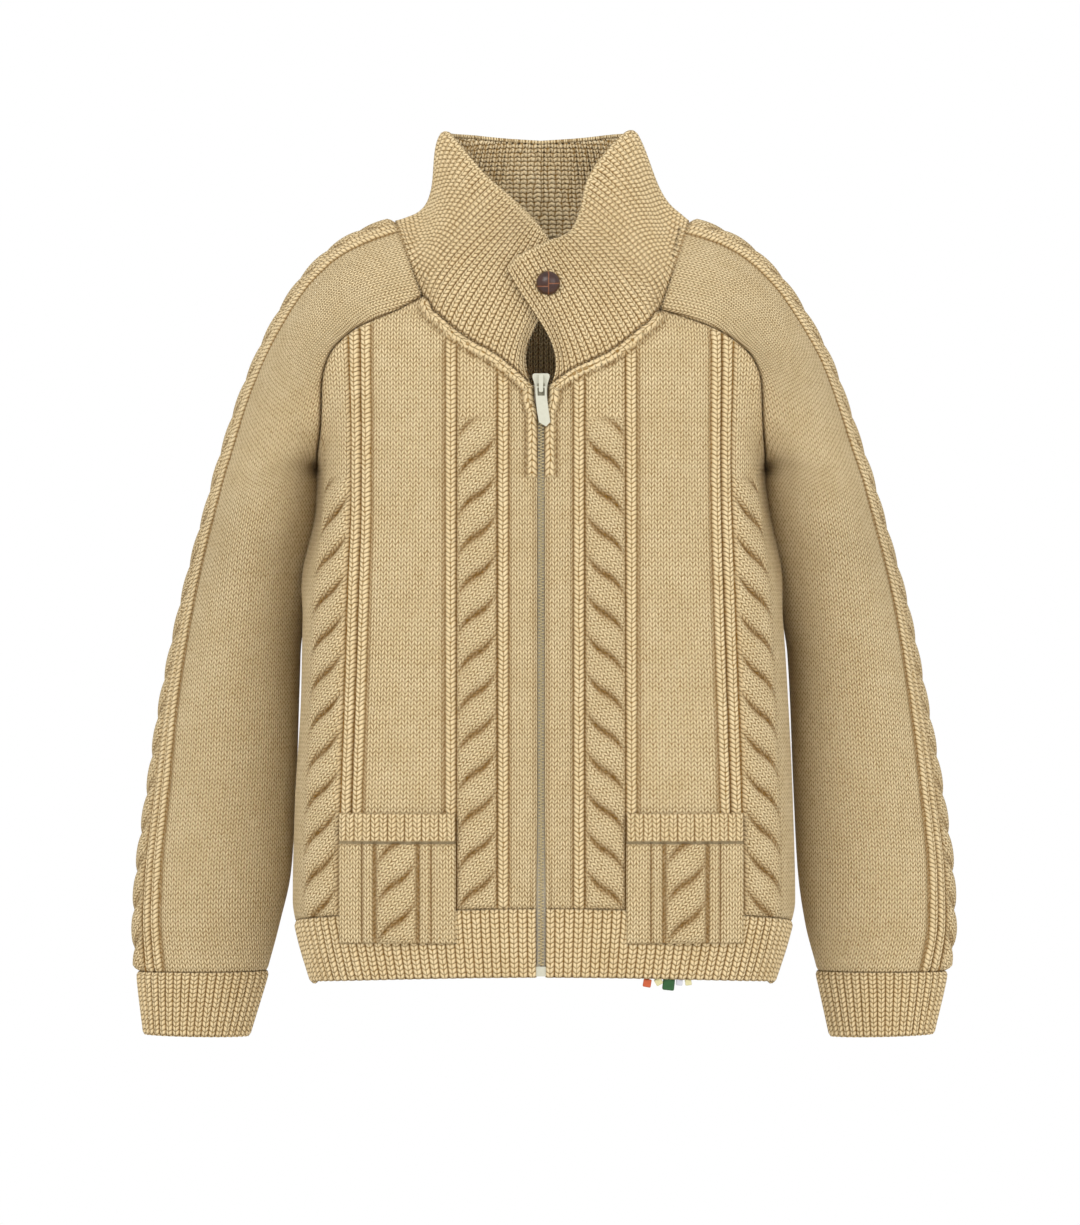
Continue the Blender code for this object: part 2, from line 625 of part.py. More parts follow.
def sleeve_points(side):
    stations = sleeve_stations()
    near, parts_of_rest = sleeve_columns()
    frames = {face: raglan_frame(RAGLAN_STATIONS, side, face) for face in ("front", "back")}
    outer, inner = [], []
    for row, station in enumerate(stations):
        place = row / 2
        row_u, height, shear = [], [], []
        for turn, face in ((-1, "back"), (1, "front")):
            width = sleeve_width(station, side, face)[0]
            start = near[-1][0]
            half = [(d, h, s) for d, h, s in near]
            half += [(start + (width - start) * part, 0, 0) for part in parts_of_rest]
            half = half[::-1] if turn < 0 else half
            for distance, raised, leaning in half:
                row_u.append(turn * distance)
                height.append(cable_height(place) if leaning else raised)
                shear.append(-turn * leaning * CABLE_LEAN / 2)
        u, height, shear = np.array(row_u), np.array(height), np.array(shear)
        last = row == len(stations) - 1
        if row >= len(RAGLAN_STATIONS):
            u[[0, -1]] -= np.array([-1, 1]) * SEAM_GAP / 2
        height = height * (0 if row == 0 else 1)
        per_mm = np.gradient(CREST_STATIONS, CREST_RUN)
        moved = shear * np.interp(station, CREST_STATIONS, per_mm) * (0 if last or row == 0 else 1)
        where = np.full(len(u), station) + moved
        if last:
            where[:] = CUFF_STATION - 0.003
        points, out = sleeve(u, where, side), sleeve_out(u, where, side)
        if last:
            out = in_section(out, CUFF_STATION, side)
        if row < len(RAGLAN_STATIONS):
            for edge, face in ((0, "back"), (-1, "front")):
                distance = np.abs(u - u[edge])
                blend = smooth_step(1 - distance / 16)[:, None]
                out = unit(out * (1 - blend) + frames[face][1][row] * blend)
                room = seam_room(RAGLAN_STATIONS[row])
                points[edge] = frames[face][0][row] - frames[face][2][row] * room
                if row == len(RAGLAN_STATIONS) - 1:
                    points[edge, 1] += room * (1 if face == "back" else -1)
        else:
            out[[0, -1]] = unit(out[0] + out[-1])
        outer.append(points + out * (height - OUTLINE_INSET)[:, None])
        inner.append((points, out))
    return np.array(outer), inner


def add_sleeve(side, parts):
    outer, inner = sleeve_points(side)
    behind = np.array([p - o * (OUTLINE_INSET + WALL) for p, o in inner])
    kept = keep_rows(len(outer), len(RAGLAN_STATIONS), 3)
    columns = every_other(outer.shape[1])
    add_wall("sleeve_" + side, outer, behind[kept][:, columns], kept, columns, "wool", parts)
    return inner[0]


def ribs(length, pitch):
    """Evenly spaced places, two for each rib, and the height of each."""
    count = 2 * int(round(length / pitch))
    places = np.linspace(0, 1, count + 1)
    heights = np.where(np.arange(count + 1) % 2 == 1, RIB_HEIGHT, 0.0)
    return places, heights


def add_cuff(side, parts):
    width = sleeve_width((CUFF_STATION + CUFF_END) / 2, side, "front")[0]
    places, heights = ribs(2 * width, CUFF_RIB)
    rows = (CUFF_STATION + 0.003, CUFF_END)
    outer, inner = [], []
    coarse = list(range(0, len(places) - 1, 4)) + [len(places) - 1]
    for station in rows:
        reach = sleeve_width(station, side, "front")[0] - SEAM_GAP / 2
        u = reach * (2 * places - 1)
        where = np.full(len(u), station)
        points, out = sleeve(u, where, side), sleeve_out(u, where, side)
        out = in_section(out, CUFF_STATION, side) if station < CUFF_END else out
        out[[0, -1]] = unit(out[0] + out[-1])
        outer.append(points + out * (heights - OUTLINE_INSET)[:, None])
        inner.append((points - out * (OUTLINE_INSET + WALL))[coarse])
    add_wall("cuff_" + side, np.array(outer), np.array(inner), [0, 1], coarse, "wool", parts)


# ---- hem -----------------------------------------------------------------------------------

def hem_half(side, face, near):
    """Rows of a hem band from near the middle to the side seam: outer points and inner ones."""
    reach = torso_width(HEM_TOP_CENTRE_Z, side, face)[0]
    places, heights = ribs(reach - near, HEM_RIB)
    across = (near + (reach - near) * places) / reach
    outer, inner = [], []
    for down in (0.0, 1.0):
        z = (hem_top(across) - SEAM_GAP / 2) * (1 - down) + hem_bottom(across) * down
        u = across * torso_width(z, side, face)
        u[-1] -= SEAM_GAP / 2
        points, out = torso(u, z, side, face), torso_out(u, z, side, face)
        out = level(out) if down == 0 else out
        out[-1] = (SIGN[side], 0, 0)
        outer.append(points + out * (heights - OUTLINE_INSET)[:, None])
        inner.append(points - out * (OUTLINE_INSET + WALL))
    return np.array(outer), np.array(inner)


def add_hems(parts):
    for side in SIGN:
        outer, inner = hem_half(side, "front", ZIP_EDGE_X)
        coarse = list(range(0, outer.shape[1] - 1, 4)) + [outer.shape[1] - 1]
        add_wall("hem_" + side, outer, inner[:, coarse], [0, 1], coarse, "wool", parts)
    halves = [hem_half(side, "back", 0.0) for side in SIGN]
    outer = np.concatenate([halves[0][0][:, ::-1], halves[1][0][:, 1:]], axis=1)
    inner = np.concatenate([halves[0][1][:, ::-1], halves[1][1][:, 1:]], axis=1)
    coarse = list(range(0, outer.shape[1] - 1, 4)) + [outer.shape[1] - 1]
    add_wall("hem_back", outer, inner[:, coarse], [0, 1], coarse, "wool", parts)


# ---- collar --------------------------------------------------------------------------------

def neck_edge(side, front, cap, back):
    """The neck seam of one side, from the zip to the middle of the back.

    Also the distances at which the pieces below have points on their inner face.
    """
    points, outs, inner = [], [], []
    first_zip_row = int(np.argmax(RAGLAN_STATIONS >= 6))
    for row in range(first_zip_row, -1, -1):
        points.append(front[1][row][0][0])
        outs.append(front[1][row][1][0])
        inner.append(True)
    points.append(front[1][0][0][-1])
    outs.append(front[1][0][1][-1])
    inner.append(True)
    for i in range(len(cap[0]) - 1, -1, -1):
        points.append(cap[0][i])
        outs.append(cap[1][i])
        inner.append(i in every_other(len(cap[0])))
    top, out = back[1][0]
    middle_columns = [i for i in range(len(top)) if abs(top[i, 0]) < 79 or i == len(top) - 1]
    for i in middle_columns[::-1]:
        points.append(top[i])
        outs.append(out[i])
        inner.append((len(top) - 1 - i) % 2 == 0)
    points, outs = np.array(points), np.array(outs)
    run = np.concatenate([[0], np.cumsum(np.linalg.norm(np.diff(points, axis=0), axis=1))])
    steps = unit(np.diff(points, axis=0))
    tangents = unit(np.concatenate([steps[:1], steps[1:] + steps[:-1], steps[-1:]]))
    away = unit(np.cross(outs, tangents)) * SIGN[side]
    return points + away * COLLAR_SEAM_GAP, outs, run, run[inner]


def collar_lines(side, where, points, outs, run):
    """Four points of each rib line, base to top, and the wall's direction at the base."""
    base = np.stack([np.interp(where, run, points[:, i]) for i in range(3)], axis=-1)
    out = unit(np.stack([np.interp(where, run, outs[:, i]) for i in range(3)], axis=-1))
    table, key = COLLAR[side], where * 401 / run[-1]
    lines = [base]
    for level in ("bend", "rise", "top"):
        lines.append(np.stack([SIGN[side] * table.at(level + "_x", key),
                               table.at(level + "_y", key), table.at(level + "_z", key)], axis=-1))
    return np.array(lines), out


def collar_point(lines, height):
    """A point of the collar at a part of its height: one cubic through the four points."""
    at = (0.0, 1 / 3, 2 / 3, 1.0)
    total = 0
    for i, here in enumerate(at):
        weight = 1.0
        for j, other in enumerate(at):
            if j != i:
                weight *= (height - other) / (here - other)
        total = total + weight * lines[i]
    return total


def collar_out(lines, height):
    """Outward direction, from the neighbouring rib lines and heights."""
    here = collar_point(lines, height)
    across = np.gradient(here, axis=0)
    up = collar_point(lines, min(height + 0.02, 1.0)) - collar_point(lines, max(height - 0.02, 0.0))
    out = unit(np.cross(across, up))
    away = here * (1, 1, 0) + np.array([0.0, 10.0, 30.0])
    return out * np.sign((out * away).sum(axis=-1, keepdims=True))


def add_collar(fronts, caps, backs, parts):
    sides = {}
    for side in SIGN:
        points, outs, run, below = neck_edge(side, fronts[side], caps[side], backs[side])
        places, heights = ribs(run[-1], COLLAR_RIB)
        sides[side] = (places * run[-1], heights, points, outs, run, below)
    levels = (0.0, 0.3, 0.65, 1.0)
    outer_rows, inner_rows = [[] for _ in levels], [[] for _ in levels]
    columns_at = []
    for side in ("left", "right"):
        where, heights, points, outs, run, below = sides[side]
        at = {0, len(where) - 1} | set(np.abs(where[:, None] - below).argmin(axis=0).tolist())
        at = sorted(at | {i for i in range(0, len(where), 4) if np.abs(where[i] - below).min() > 6})
        lines, base_out = collar_lines(side, where, points, outs, run)
        coarse, coarse_out = collar_lines(side, where[at], points, outs, run)
        turn = 1 if side == "left" else -1
        for k, level in enumerate(levels):
            out = base_out if k == 0 else collar_out(lines, level)
            wall = collar_point(lines, level) + out * (heights - 2.2)[:, None]
            behind_out = coarse_out if k == 0 else collar_out(coarse, level)
            inset = OUTLINE_INSET + WALL if k == 0 else 2.2 + WALL
            behind = collar_point(coarse, level) - behind_out * inset
            outer_rows[k].append(wall[::turn])
            inner_rows[k].append(behind[::turn])
        at = np.array(at)
        columns_at.append(at if turn > 0 else (len(where) - 1 - at)[::-1])
    # The two halves share their middle column at the back.
    outer = np.array([np.concatenate([row[0], row[1][1:]]) for row in outer_rows])
    inner = np.array([np.concatenate([row[0], row[1][1:]]) for row in inner_rows])
    offset = len(sides["left"][0]) - 1
    places = np.concatenate([columns_at[0], columns_at[1][1:] + offset])
    rows = list(range(len(levels)))
    return add_wall("collar", outer, inner, rows, list(places), "wool", parts)


# ---- pockets -------------------------------------------------------------------------------

def add_pocket(side, parts):
    """A patch pocket: the front's own points moved out, with a cable and a ribbed band."""
    centre = (POCKET_NEAR + POCKET_FAR) / 2
    raised = {centre - 8: 1, centre + 8: 1}
    ropes = (centre - 24, centre + 24)
    columns = [POCKET_NEAR, centre - 41, centre - 34, ropes[0] - 4, ropes[0], centre - 18, centre - 8,
               centre + 8, centre + 18, ropes[1], ropes[1] + 4, centre + 34, centre + 41, POCKET_FAR]
    band = POCKET_TOP - POCKET_BAND
    rows = [POCKET_TOP, band] + list(np.arange(band - CABLE_PITCH / 2, POCKET_BOTTOM + 5, -CABLE_PITCH / 2))
    rows.append(POCKET_BOTTOM)
    outer, inner = [], []
    for row, z in enumerate(rows):
        u = np.array(columns)
        height = np.zeros(len(u))
        shear = np.zeros(len(u))
        for i, column in enumerate(columns):
            if column in raised and 1 < row < len(rows) - 1:
                height[i] = cable_height(row / 2) * 0.85
                shear[i] = SIGN[side] * math.copysign(CABLE_LEAN / 2, column - centre)
            elif column in ropes and 1 < row < len(rows) - 1:
                height[i] = ROPE_HEIGHT
        where = z + shear
        points, out = torso(u, where, side, "front"), torso_out(u, where, side, "front")
        inset = OUTLINE_INSET - POCKET_LIFT
        outer.append(points + out * (height - inset + POCKET_WALL)[:, None])
        inner.append(points - out * inset)
    add_wall("pocket_" + side, np.array(outer), np.array(inner), list(range(len(rows))),
             list(range(len(columns))), "wool", parts)


# ---- zip and button ------------------------------------------------------------------------

def add_strip(name, near, far, face, back, top, end, material, parts):
    """A straight strip of the zip that follows the front's curve: near and far are its x."""
    heights = np.linspace(top, end, 8)
    outer, inner = [], []
    for z in heights:
        depth = -float(TORSO.at("depth_front", z))
        outer.append([(near, depth + face, z), (far, depth + face, z)])
        inner.append([(near, depth + back, z), (far, depth + back, z)])
    add_wall(name, np.array(outer), np.array(inner), list(range(len(heights))), [0, 1], material, parts)


def add_outline(name, splines, thickness, material, parts):
    """A flat plate from closed outlines, the first outside and the others its holes."""
    curve = bpy.data.curves.new(name, "CURVE")
    curve.dimensions = "2D"
    curve.fill_mode = "BOTH"
    curve.extrude = thickness / 2 * MM
    for outline in splines:
        spline = curve.splines.new("POLY")
        spline.points.add(len(outline) - 1)
        spline.use_cyclic_u = True
        for point, (x, y) in zip(spline.points, outline):
            point.co = (x * MM, y * MM, 0, 1)
    guide = bpy.data.objects.new(name + "_outline", curve)
    parts.objects.link(guide)
    bpy.context.view_layer.update()
    mesh = bpy.data.meshes.new_from_object(guide.evaluated_get(bpy.context.evaluated_depsgraph_get()))
    bpy.data.objects.remove(guide)
    bm = bmesh.new()
    bm.from_mesh(mesh)
    bmesh.ops.remove_doubles(bm, verts=bm.verts, dist=0.00001)
    bmesh.ops.triangulate(bm, faces=bm.faces)
    bmesh.ops.recalc_face_normals(bm, faces=bm.faces)
    bm.to_mesh(mesh)
    bm.free()
    mesh.materials.clear()
    mesh.materials.append(add_material(material))
    made = bpy.data.objects.new(name, mesh)
    parts.objects.link(made)
    return made


def add_slider(parts, cutters):
    """The slider's body, narrower below, with the bridge that the pull hangs from."""
    bm = bmesh.new()
    bmesh.ops.create_cube(bm, size=1)
    for vert in bm.verts:
        top = vert.co.z > 0
        half = SLIDER_TOP_HALF if top else SLIDER_END_HALF
        vert.co = (half * (1 if vert.co.x > 0 else -1),
                   SLIDER_BACK_Y if vert.co.y > 0 else SLIDER_FACE_Y,
                   SLIDER_TOP if top else SLIDER_END)
    body = add_object("zip_slider", bm, "zip_metal", parts)
    foot = SLIDER_FACE_Y + 0.8
    tip = SLIDER_FACE_Y - BRIDGE_REACH
    rise = [(foot, BRIDGE_TOP), (tip + 1, BRIDGE_TOP), (tip, BRIDGE_TOP - 1), (tip, BRIDGE_END + 1),
            (tip + 1, BRIDGE_END), (foot, BRIDGE_END), (foot, BRIDGE_END + BRIDGE_BAR),
            (tip + BRIDGE_BAR, BRIDGE_END + BRIDGE_BAR), (tip + BRIDGE_BAR, BRIDGE_TOP - BRIDGE_BAR),
            (foot, BRIDGE_TOP - BRIDGE_BAR)]
    bridge = add_outline("zip_bridge", [rise], 2 * BRIDGE_HALF, "zip_metal", cutters)
    # The outline is drawn in (y, z): turn it so that its thickness lies along X.
    for vert in bridge.data.vertices:
        y, z, x = vert.co
        vert.co = (x, y, z)
    bridge.hide_render = True
    bridge.display_type = "WIRE"
    join = body.modifiers.new("bridge", "BOOLEAN")
    join.operation = "UNION"
    join.object = bridge
    return body


def add_pull(parts):
    """The pull tab, with a window whose top bar runs under the slider's bridge."""
    top = PULL_BAR / 2
    shoulder = -PULL_WINDOW - 1
    outline = [(-PULL_EYE_HALF - 1.4, top), (PULL_EYE_HALF + 1.4, top),
               (PULL_EYE_HALF + 1.9, shoulder), (PULL_HALF, shoulder - 6),
               (PULL_HALF, -PULL_LENGTH + 3.5), (0, -PULL_LENGTH), (-PULL_HALF, -PULL_LENGTH + 3.5),
               (-PULL_HALF, shoulder - 6), (-PULL_EYE_HALF - 1.9, shoulder)]
    window = [(-PULL_EYE_HALF, -top), (PULL_EYE_HALF, -top), (PULL_EYE_HALF, -PULL_WINDOW),
              (-PULL_EYE_HALF, -PULL_WINDOW)]
    pull = add_outline("zip_pull", [outline, window], PULL_BAR, "zip_metal", parts)
    # Drawn in (x, z) about the hinge line: stand it up.
    for vert in pull.data.vertices:
        x, z, y = vert.co
        vert.co = (x, y, z)
    pull.data.flip_normals()
    pull.location = (0, PULL_AXIS_Y * MM, PULL_AXIS_Z * MM)
    return pull


def add_button(parts):
    """A domed ball button: a turned profile with its flat back to the tab."""
    profile = [(0, BUTTON_DEEP), (4.5, BUTTON_DEEP - 0.6), (8, BUTTON_DEEP - 2.4),
               (BUTTON_HALF, BUTTON_DEEP - 4.6), (BUTTON_HALF - 0.6, 1.2), (BUTTON_HALF - 2, 0), (0, 0)]
    bm = bmesh.new()
    verts = [bm.verts.new((radius, 0, height)) for radius, height in profile]
    for first, second in zip(verts, verts[1:]):
        bm.edges.new((first, second))
    bmesh.ops.spin(bm, geom=bm.verts[:] + bm.edges[:], cent=(0, 0, 0), axis=(0, 0, 1),
                   angle=math.tau, steps=20, use_merge=True)
    bmesh.ops.remove_doubles(bm, verts=bm.verts, dist=0.01)
    bmesh.ops.triangulate(bm, faces=bm.faces)
    button = add_object("button", bm, "button_leather", parts)
    button.data.shade_smooth()
    button.data.set_sharp_from_angle(angle=math.radians(40))
    button.location = [c * MM for c in BUTTON_AT]
    button.rotation_euler = (math.pi / 2 + BUTTON_TILT, 0, 0)
    return button


def build():
    for old in list(bpy.data.objects):
        bpy.data.objects.remove(old)
    parts = bpy.data.collections.new("cable_knit_cardigan")
    cutters = bpy.data.collections.new("cutters")
    for collection in (parts, cutters):
        bpy.context.scene.collection.children.link(collection)
    fronts, backs = add_panels(parts)
    caps = {side: add_sleeve(side, parts) for side in SIGN}
    for side in SIGN:
        add_cuff(side, parts)
        add_pocket(side, parts)
        add_strip("zip_tape_" + side, SIGN[side] * TAPE_NEAR, SIGN[side] * TAPE_FAR,
                  TAPE_FACE, TAPE_BACK, TAPE_TOP, TAPE_END, "zip_tape", parts)
    add_hems(parts)
    add_collar(fronts, caps, backs, parts)
    add_strip("zip_chain", -CHAIN_HALF, CHAIN_HALF, CHAIN_FACE, CHAIN_BACK, CHAIN_TOP, CHAIN_END,
              "zip_metal", parts)
    add_strip("zip_box", -BOX_HALF, BOX_HALF, CHAIN_FACE, CHAIN_BACK, BOX_TOP, BOX_END,
              "zip_metal", parts)
    add_slider(parts, cutters)
    add_pull(parts)
    add_button(parts)


build()
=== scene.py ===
"""Looks of the cable-knit zip cardigan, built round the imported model.

The cloth pieces are knitted sheets with their cables and ribs, laid on the same surfaces as the
solids they stand for. Sizes are in millimetres until a piece is finished. "left" is at -X.
"""
import math

import bmesh
import bpy
import numpy as np
from mathutils import Matrix, Vector


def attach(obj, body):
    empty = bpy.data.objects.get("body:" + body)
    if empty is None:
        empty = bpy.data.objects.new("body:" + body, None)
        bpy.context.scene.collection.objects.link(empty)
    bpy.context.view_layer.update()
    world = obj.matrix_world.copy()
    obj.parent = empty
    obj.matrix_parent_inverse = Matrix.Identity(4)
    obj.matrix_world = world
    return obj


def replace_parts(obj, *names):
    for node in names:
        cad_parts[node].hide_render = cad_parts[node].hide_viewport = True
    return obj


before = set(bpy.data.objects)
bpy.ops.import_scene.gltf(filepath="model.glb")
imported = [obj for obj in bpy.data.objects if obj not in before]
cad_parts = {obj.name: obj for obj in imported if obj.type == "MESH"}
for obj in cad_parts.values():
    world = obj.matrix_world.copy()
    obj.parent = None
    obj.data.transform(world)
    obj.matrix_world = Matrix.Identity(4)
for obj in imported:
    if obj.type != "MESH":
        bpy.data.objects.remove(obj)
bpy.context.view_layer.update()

MM = 0.001

# Cloth
OUTLINE_INSET = 3.5      # plain cloth lies this far inside the outline, high cables reach past it
CREASE_HEIGHT = 2.0      # creases between the strands
ROPE_HEIGHT = 2.0        # twisted ribs beside the cables
RIB_HEIGHT = 1.8         # ribs of the hem, cuffs and collar
CABLE_PITCH = 33.0       # one crossing to the next

# Rib spacing
HEM_RIB = 7.9
CUFF_RIB = 7.1
COLLAR_RIB = 6.6

# Heights of the front
UNDERARM_Z = -215.0
NECK_POINT_Z = -141.0    # where the collar seam meets the zip
HEM_TOP_CENTRE_Z = -582.0
HEM_TOP_DROP = 18.0      # the hem band starts this much lower at the sides
HEM_BOTTOM_CENTRE_Z = -640.0
HEM_BOTTOM_DROP = 9.0
ZIP_EDGE_X = 6.0         # front edge from the middle of the zip

# Pattern columns of front and back, from the middle, along the cloth
ROPES = (31.8, 75.8, 149.5, 159.5)
ROPE_HALF = 4.7          # half of the one stitch that a raised column takes
CABLES = ((54.0, 17.0), (185.0, 19.0))    # centre and half width
CABLE_TOPS = (-170.0, -221.0)             # where each cable begins
SIDE_SPREAD = 7.5                         # outer columns move out this much down to the hem
SPREAD_FROM, SPREAD_OVER = 80.0, 65.0

# Pattern columns of a sleeve, from its crest
SLEEVE_CABLE_HALF = 18.0
SLEEVE_ROPES = (25.0, 35.0)

# Pockets: from the middle along the cloth, and heights
POCKET_NEAR, POCKET_FAR = 71.5, 171.0
POCKET_TOP, POCKET_BOTTOM = -502.0, -611.0
POCKET_BAND = 25.0
POCKET_LIFT = 2.3        # clears the ribs it lies on
POCKET_WALL = 2.6


class Table:
    """Rows of sizes with named columns, read along smooth curves that never overshoot."""

    def __init__(self, columns, rows):
        ordered = np.array(sorted(rows), dtype=float)
        self.key = ordered[:, 0]
        self.values = {name: ordered[:, i] for i, name in enumerate(columns.split())}
        self.slopes = {name: self.find_slopes(column) for name, column in self.values.items()}

    def find_slopes(self, column):
        steps = np.diff(self.key)
        rises = np.diff(column) / steps
        slopes = np.zeros(len(column))
        slopes[0], slopes[-1] = rises[0], rises[-1]
        for i in range(1, len(column) - 1):
            before, after = rises[i - 1], rises[i]
            if before * after > 0:
                near, far = 2 * steps[i] + steps[i - 1], steps[i] + 2 * steps[i - 1]
                slopes[i] = (near + far) / (near / before + far / after)
        return slopes

    def at(self, name, where):
        where = np.clip(np.asarray(where, dtype=float), self.key[0], self.key[-1])
        i = np.clip(np.searchsorted(self.key, where, side="right") - 1, 0, len(self.key) - 2)
        step = self.key[i + 1] - self.key[i]
        t = (where - self.key[i]) / step
        low, high = self.values[name][i], self.values[name][i + 1]
        slope_low, slope_high = self.slopes[name][i] * step, self.slopes[name][i + 1] * step
        return (low * (1 + 2 * t) * (1 - t) ** 2 + high * t * t * (3 - 2 * t)
                + slope_low * t * (1 - t) ** 2 + slope_high * t * t * (t - 1))


TORSO = Table(
    "z     half_left  half_right  depth_front  depth_back  squareness", [
        (-12, 190, 190, 80, 84, 2.4),
        (-65, 190, 190, 88, 92, 2.5),
        (-104, 190, 190, 101, 96, 2.9),
        (-141, 190, 190, 108, 99, 3.3),
        (-175, 190, 190, 111, 101, 3.6),
        (-215, 190, 190, 112, 103, 4.0),
        (-238, 190, 192, 112, 103, 4.0),
        (-323, 205, 207, 113, 102, 4.0),
        (-408, 207, 213, 112, 100, 4.0),
        (-493, 212, 217, 111, 101, 4.0),
        (-577, 214, 219, 109, 103, 4.0),
        (-609, 208, 212, 107, 102, 4.0),
        (-650, 196, 199, 103, 99, 4.0),
    ])

# Neck edge of the fronts: distance from the middle at each height
NECK = Table(
    "z     left   right", [
        (-65, 92.5, 99.0),
        (-76, 89.0, 93.0),
        (-84, 82.0, 89.0),
        (-103, 59.5, 70.5),
        (-117, 36.6, 51.0),
        (-130, 20.4, 24.0),
        (-141, 8.5, 8.5),
    ])

NECK_TIP_Z = {"left": -72.0, "right": -82.0}   # lower end of each front's narrow top

# Sleeve stations, neck to cuff. crest: outer line. seam: raglan seam, then the underarm line.
# back: the raglan seam behind. wrap: how far round the section the cloth goes from the crest.
SLEEVE = Table(
    "station crest_left crest_right crest_z seam_left seam_left_z seam_right seam_right_z"
    " back back_z wrap half_depth mid_y", [
        (0, 125, 127, 2, 99.5, -65, 100, -76, 80, -12, 90, 72, 2),
        (1, 150, 152, -7, 119, -76, 122, -83, 97, -26, 90, 76, 1),
        (2, 175, 176, -21, 139, -85, 142, -91, 116, -42, 92, 80, 0),
        (3, 203, 204, -48, 155, -93, 158, -100, 134, -60, 95, 82, 0),
        (4, 228, 230, -87, 168, -104, 170, -110, 152, -80, 100, 83, 0),
        (5, 244, 247, -120, 178, -117, 179, -121, 166, -102, 106, 83, 0),
        (6, 259, 261, -158, 184.7, -141, 185.7, -141, 177, -130, 113, 82, 0),
        (7, 270, 272.5, -192, 186, -175, 187.5, -176, 184, -168, 124, 80, 0),
        (8, 277.5, 281, -217, 189.5, -203, 189.7, -203, 189, -203, 148, 78, 0),
        (9, 283, 287, -238, 190, -215, 190, -215, 190, -215, 180, 77, 0),
        (10, 293, 297, -272, 191, -250, 193, -250, 191, -250, 180, 76, 10),
        (11, 307, 312, -323, 199.5, -310, 202, -310, 199.5, -310, 180, 70, 32),
        (12, 326, 330.5, -411, 203, -400, 209, -400, 203, -400, 180, 60, 48),
        (13, 336.5, 343, -480, 205.5, -475, 212, -475, 205.5, -475, 180, 52, 52),
        (14, 347, 353.5, -558, 210, -553, 216, -553, 210, -553, 180, 46, 54),
        (15, 349.5, 355, -600, 220, -600, 222.5, -600, 220, -600, 180, 42, 54),
        (16, 348, 350, -641, 231, -641, 233, -641, 231, -641, 180, 36, 53),
        (17, 342, 338, -695, 248, -697, 245.5, -697, 248, -697, 180, 31, 52),
    ])
UNDERARM_STATION = 9.0
CUFF_STATION = 16.0
CUFF_END = 17.0

# Collar, by distance along the neck seam from the zip to the middle of the back.
# bend: a third of the way up, rise: two thirds up, top: the edge.
COLLAR_COLUMNS = "along bend_x bend_y bend_z rise_x rise_y rise_z top_x top_y top_z"
COLLAR_BACK = [
    (280, 98, 47, 15, 88, 42, 48, 77, 38, 79),
    (320, 77, 69, 15, 70, 63, 46, 61, 59, 77),
    (361, 39, 78, 16, 37, 73, 46, 33, 68, 74),
    (401, 0, 79, 17, 0, 75, 46, 0, 70, 72),
]
COLLAR = {
    "left": Table(COLLAR_COLUMNS, [
        (0, 11, -103.5, -108, -7, -98.5, -76, -24, -92, -44),
        (15, 12.5, -103, -97, -4, -97.5, -63, -16, -90, -31),
        (37, 24, -101, -83, 7, -96, -49, -7, -88, -18.5),
        (65, 46, -97, -69, 26, -92, -36, 4, -85, -4),
        (98, 70, -88, -50, 45, -84, -21, 17, -79, 9),
        (125, 86, -75, -36, 60, -74, -6, 31, -71, 22),
        (154, 94, -57, -20, 73, -58, 10, 48, -57, 38),
        (187, 97, -32, -3, 84, -35, 28, 66, -35, 60),
        (227, 96, 1, 17, 91, 1, 50, 82, 1, 80),
    ] + COLLAR_BACK),
    "right": Table(COLLAR_COLUMNS, [
        (0, 9.5, -109, -110, -9, -108, -78, -29, -102, -44),
        (15, 14, -108.5, -100, -3, -107.5, -67, -22, -102, -36),
        (32, 25, -107, -92, 8, -106.5, -59, -9, -101.5, -28),
        (56, 44, -102, -80, 24, -102, -48, 6, -99.5, -21),
        (86, 65, -92, -64, 42, -93, -33, 23, -93, -14),
        (116, 83, -79, -47, 56, -80, -17, 33, -80, 4),
        (149, 96, -60, -27, 69, -62, 5, 38, -63, 30),
        (184, 102, -33, -5, 82, -36, 30, 57, -38, 60),
        (224, 104, 1, 21, 92, 1, 50, 79, 1, 81),
    ] + COLLAR_BACK),
}

CLOTH = 3.0              # thickness of a finished sheet
WALE = 4.9               # one stitch across
COURSE = 3.9             # one stitch up
STRAND_TURN = math.radians(42)   # how far the stitches of a cable's strand lean over
CABLE_SLOPE = 1.05       # rise of a strand for its run across the cable
BRAID_WIDTH = 9.6        # the chain along the neck edge
BODY_ARMPIT, SLEEVE_ARMPIT = 5.4, 5.6    # how far the cloth swells to close the armpit

# Zip slider, pull and button, as in the solids that they stand for
SLIDER_TOP, SLIDER_END = -133.5, -150.5
SLIDER_FACE_Y, SLIDER_BACK_Y = -110.5, -104.5
PULL_AXIS_Y, PULL_AXIS_Z = -112.5, -145.0
PULL_LENGTH = 33.0
BUTTON_AT = (6.0, -107.8, -57.8)
BUTTON_TILT = math.radians(4)

SIGN = {"left": -1.0, "right": 1.0}
LINE_STEPS = np.linspace(0.0, 1.0, 161)


def unit(vectors):
    vectors = np.asarray(vectors, dtype=float)
    return vectors / np.linalg.norm(vectors, axis=-1, keepdims=True)


def smooth_step(value):
    value = np.clip(value, 0.0, 1.0)
    return value * value * (3 - 2 * value)


# ---- sleeve and body surfaces ---------------------------------------------------------------

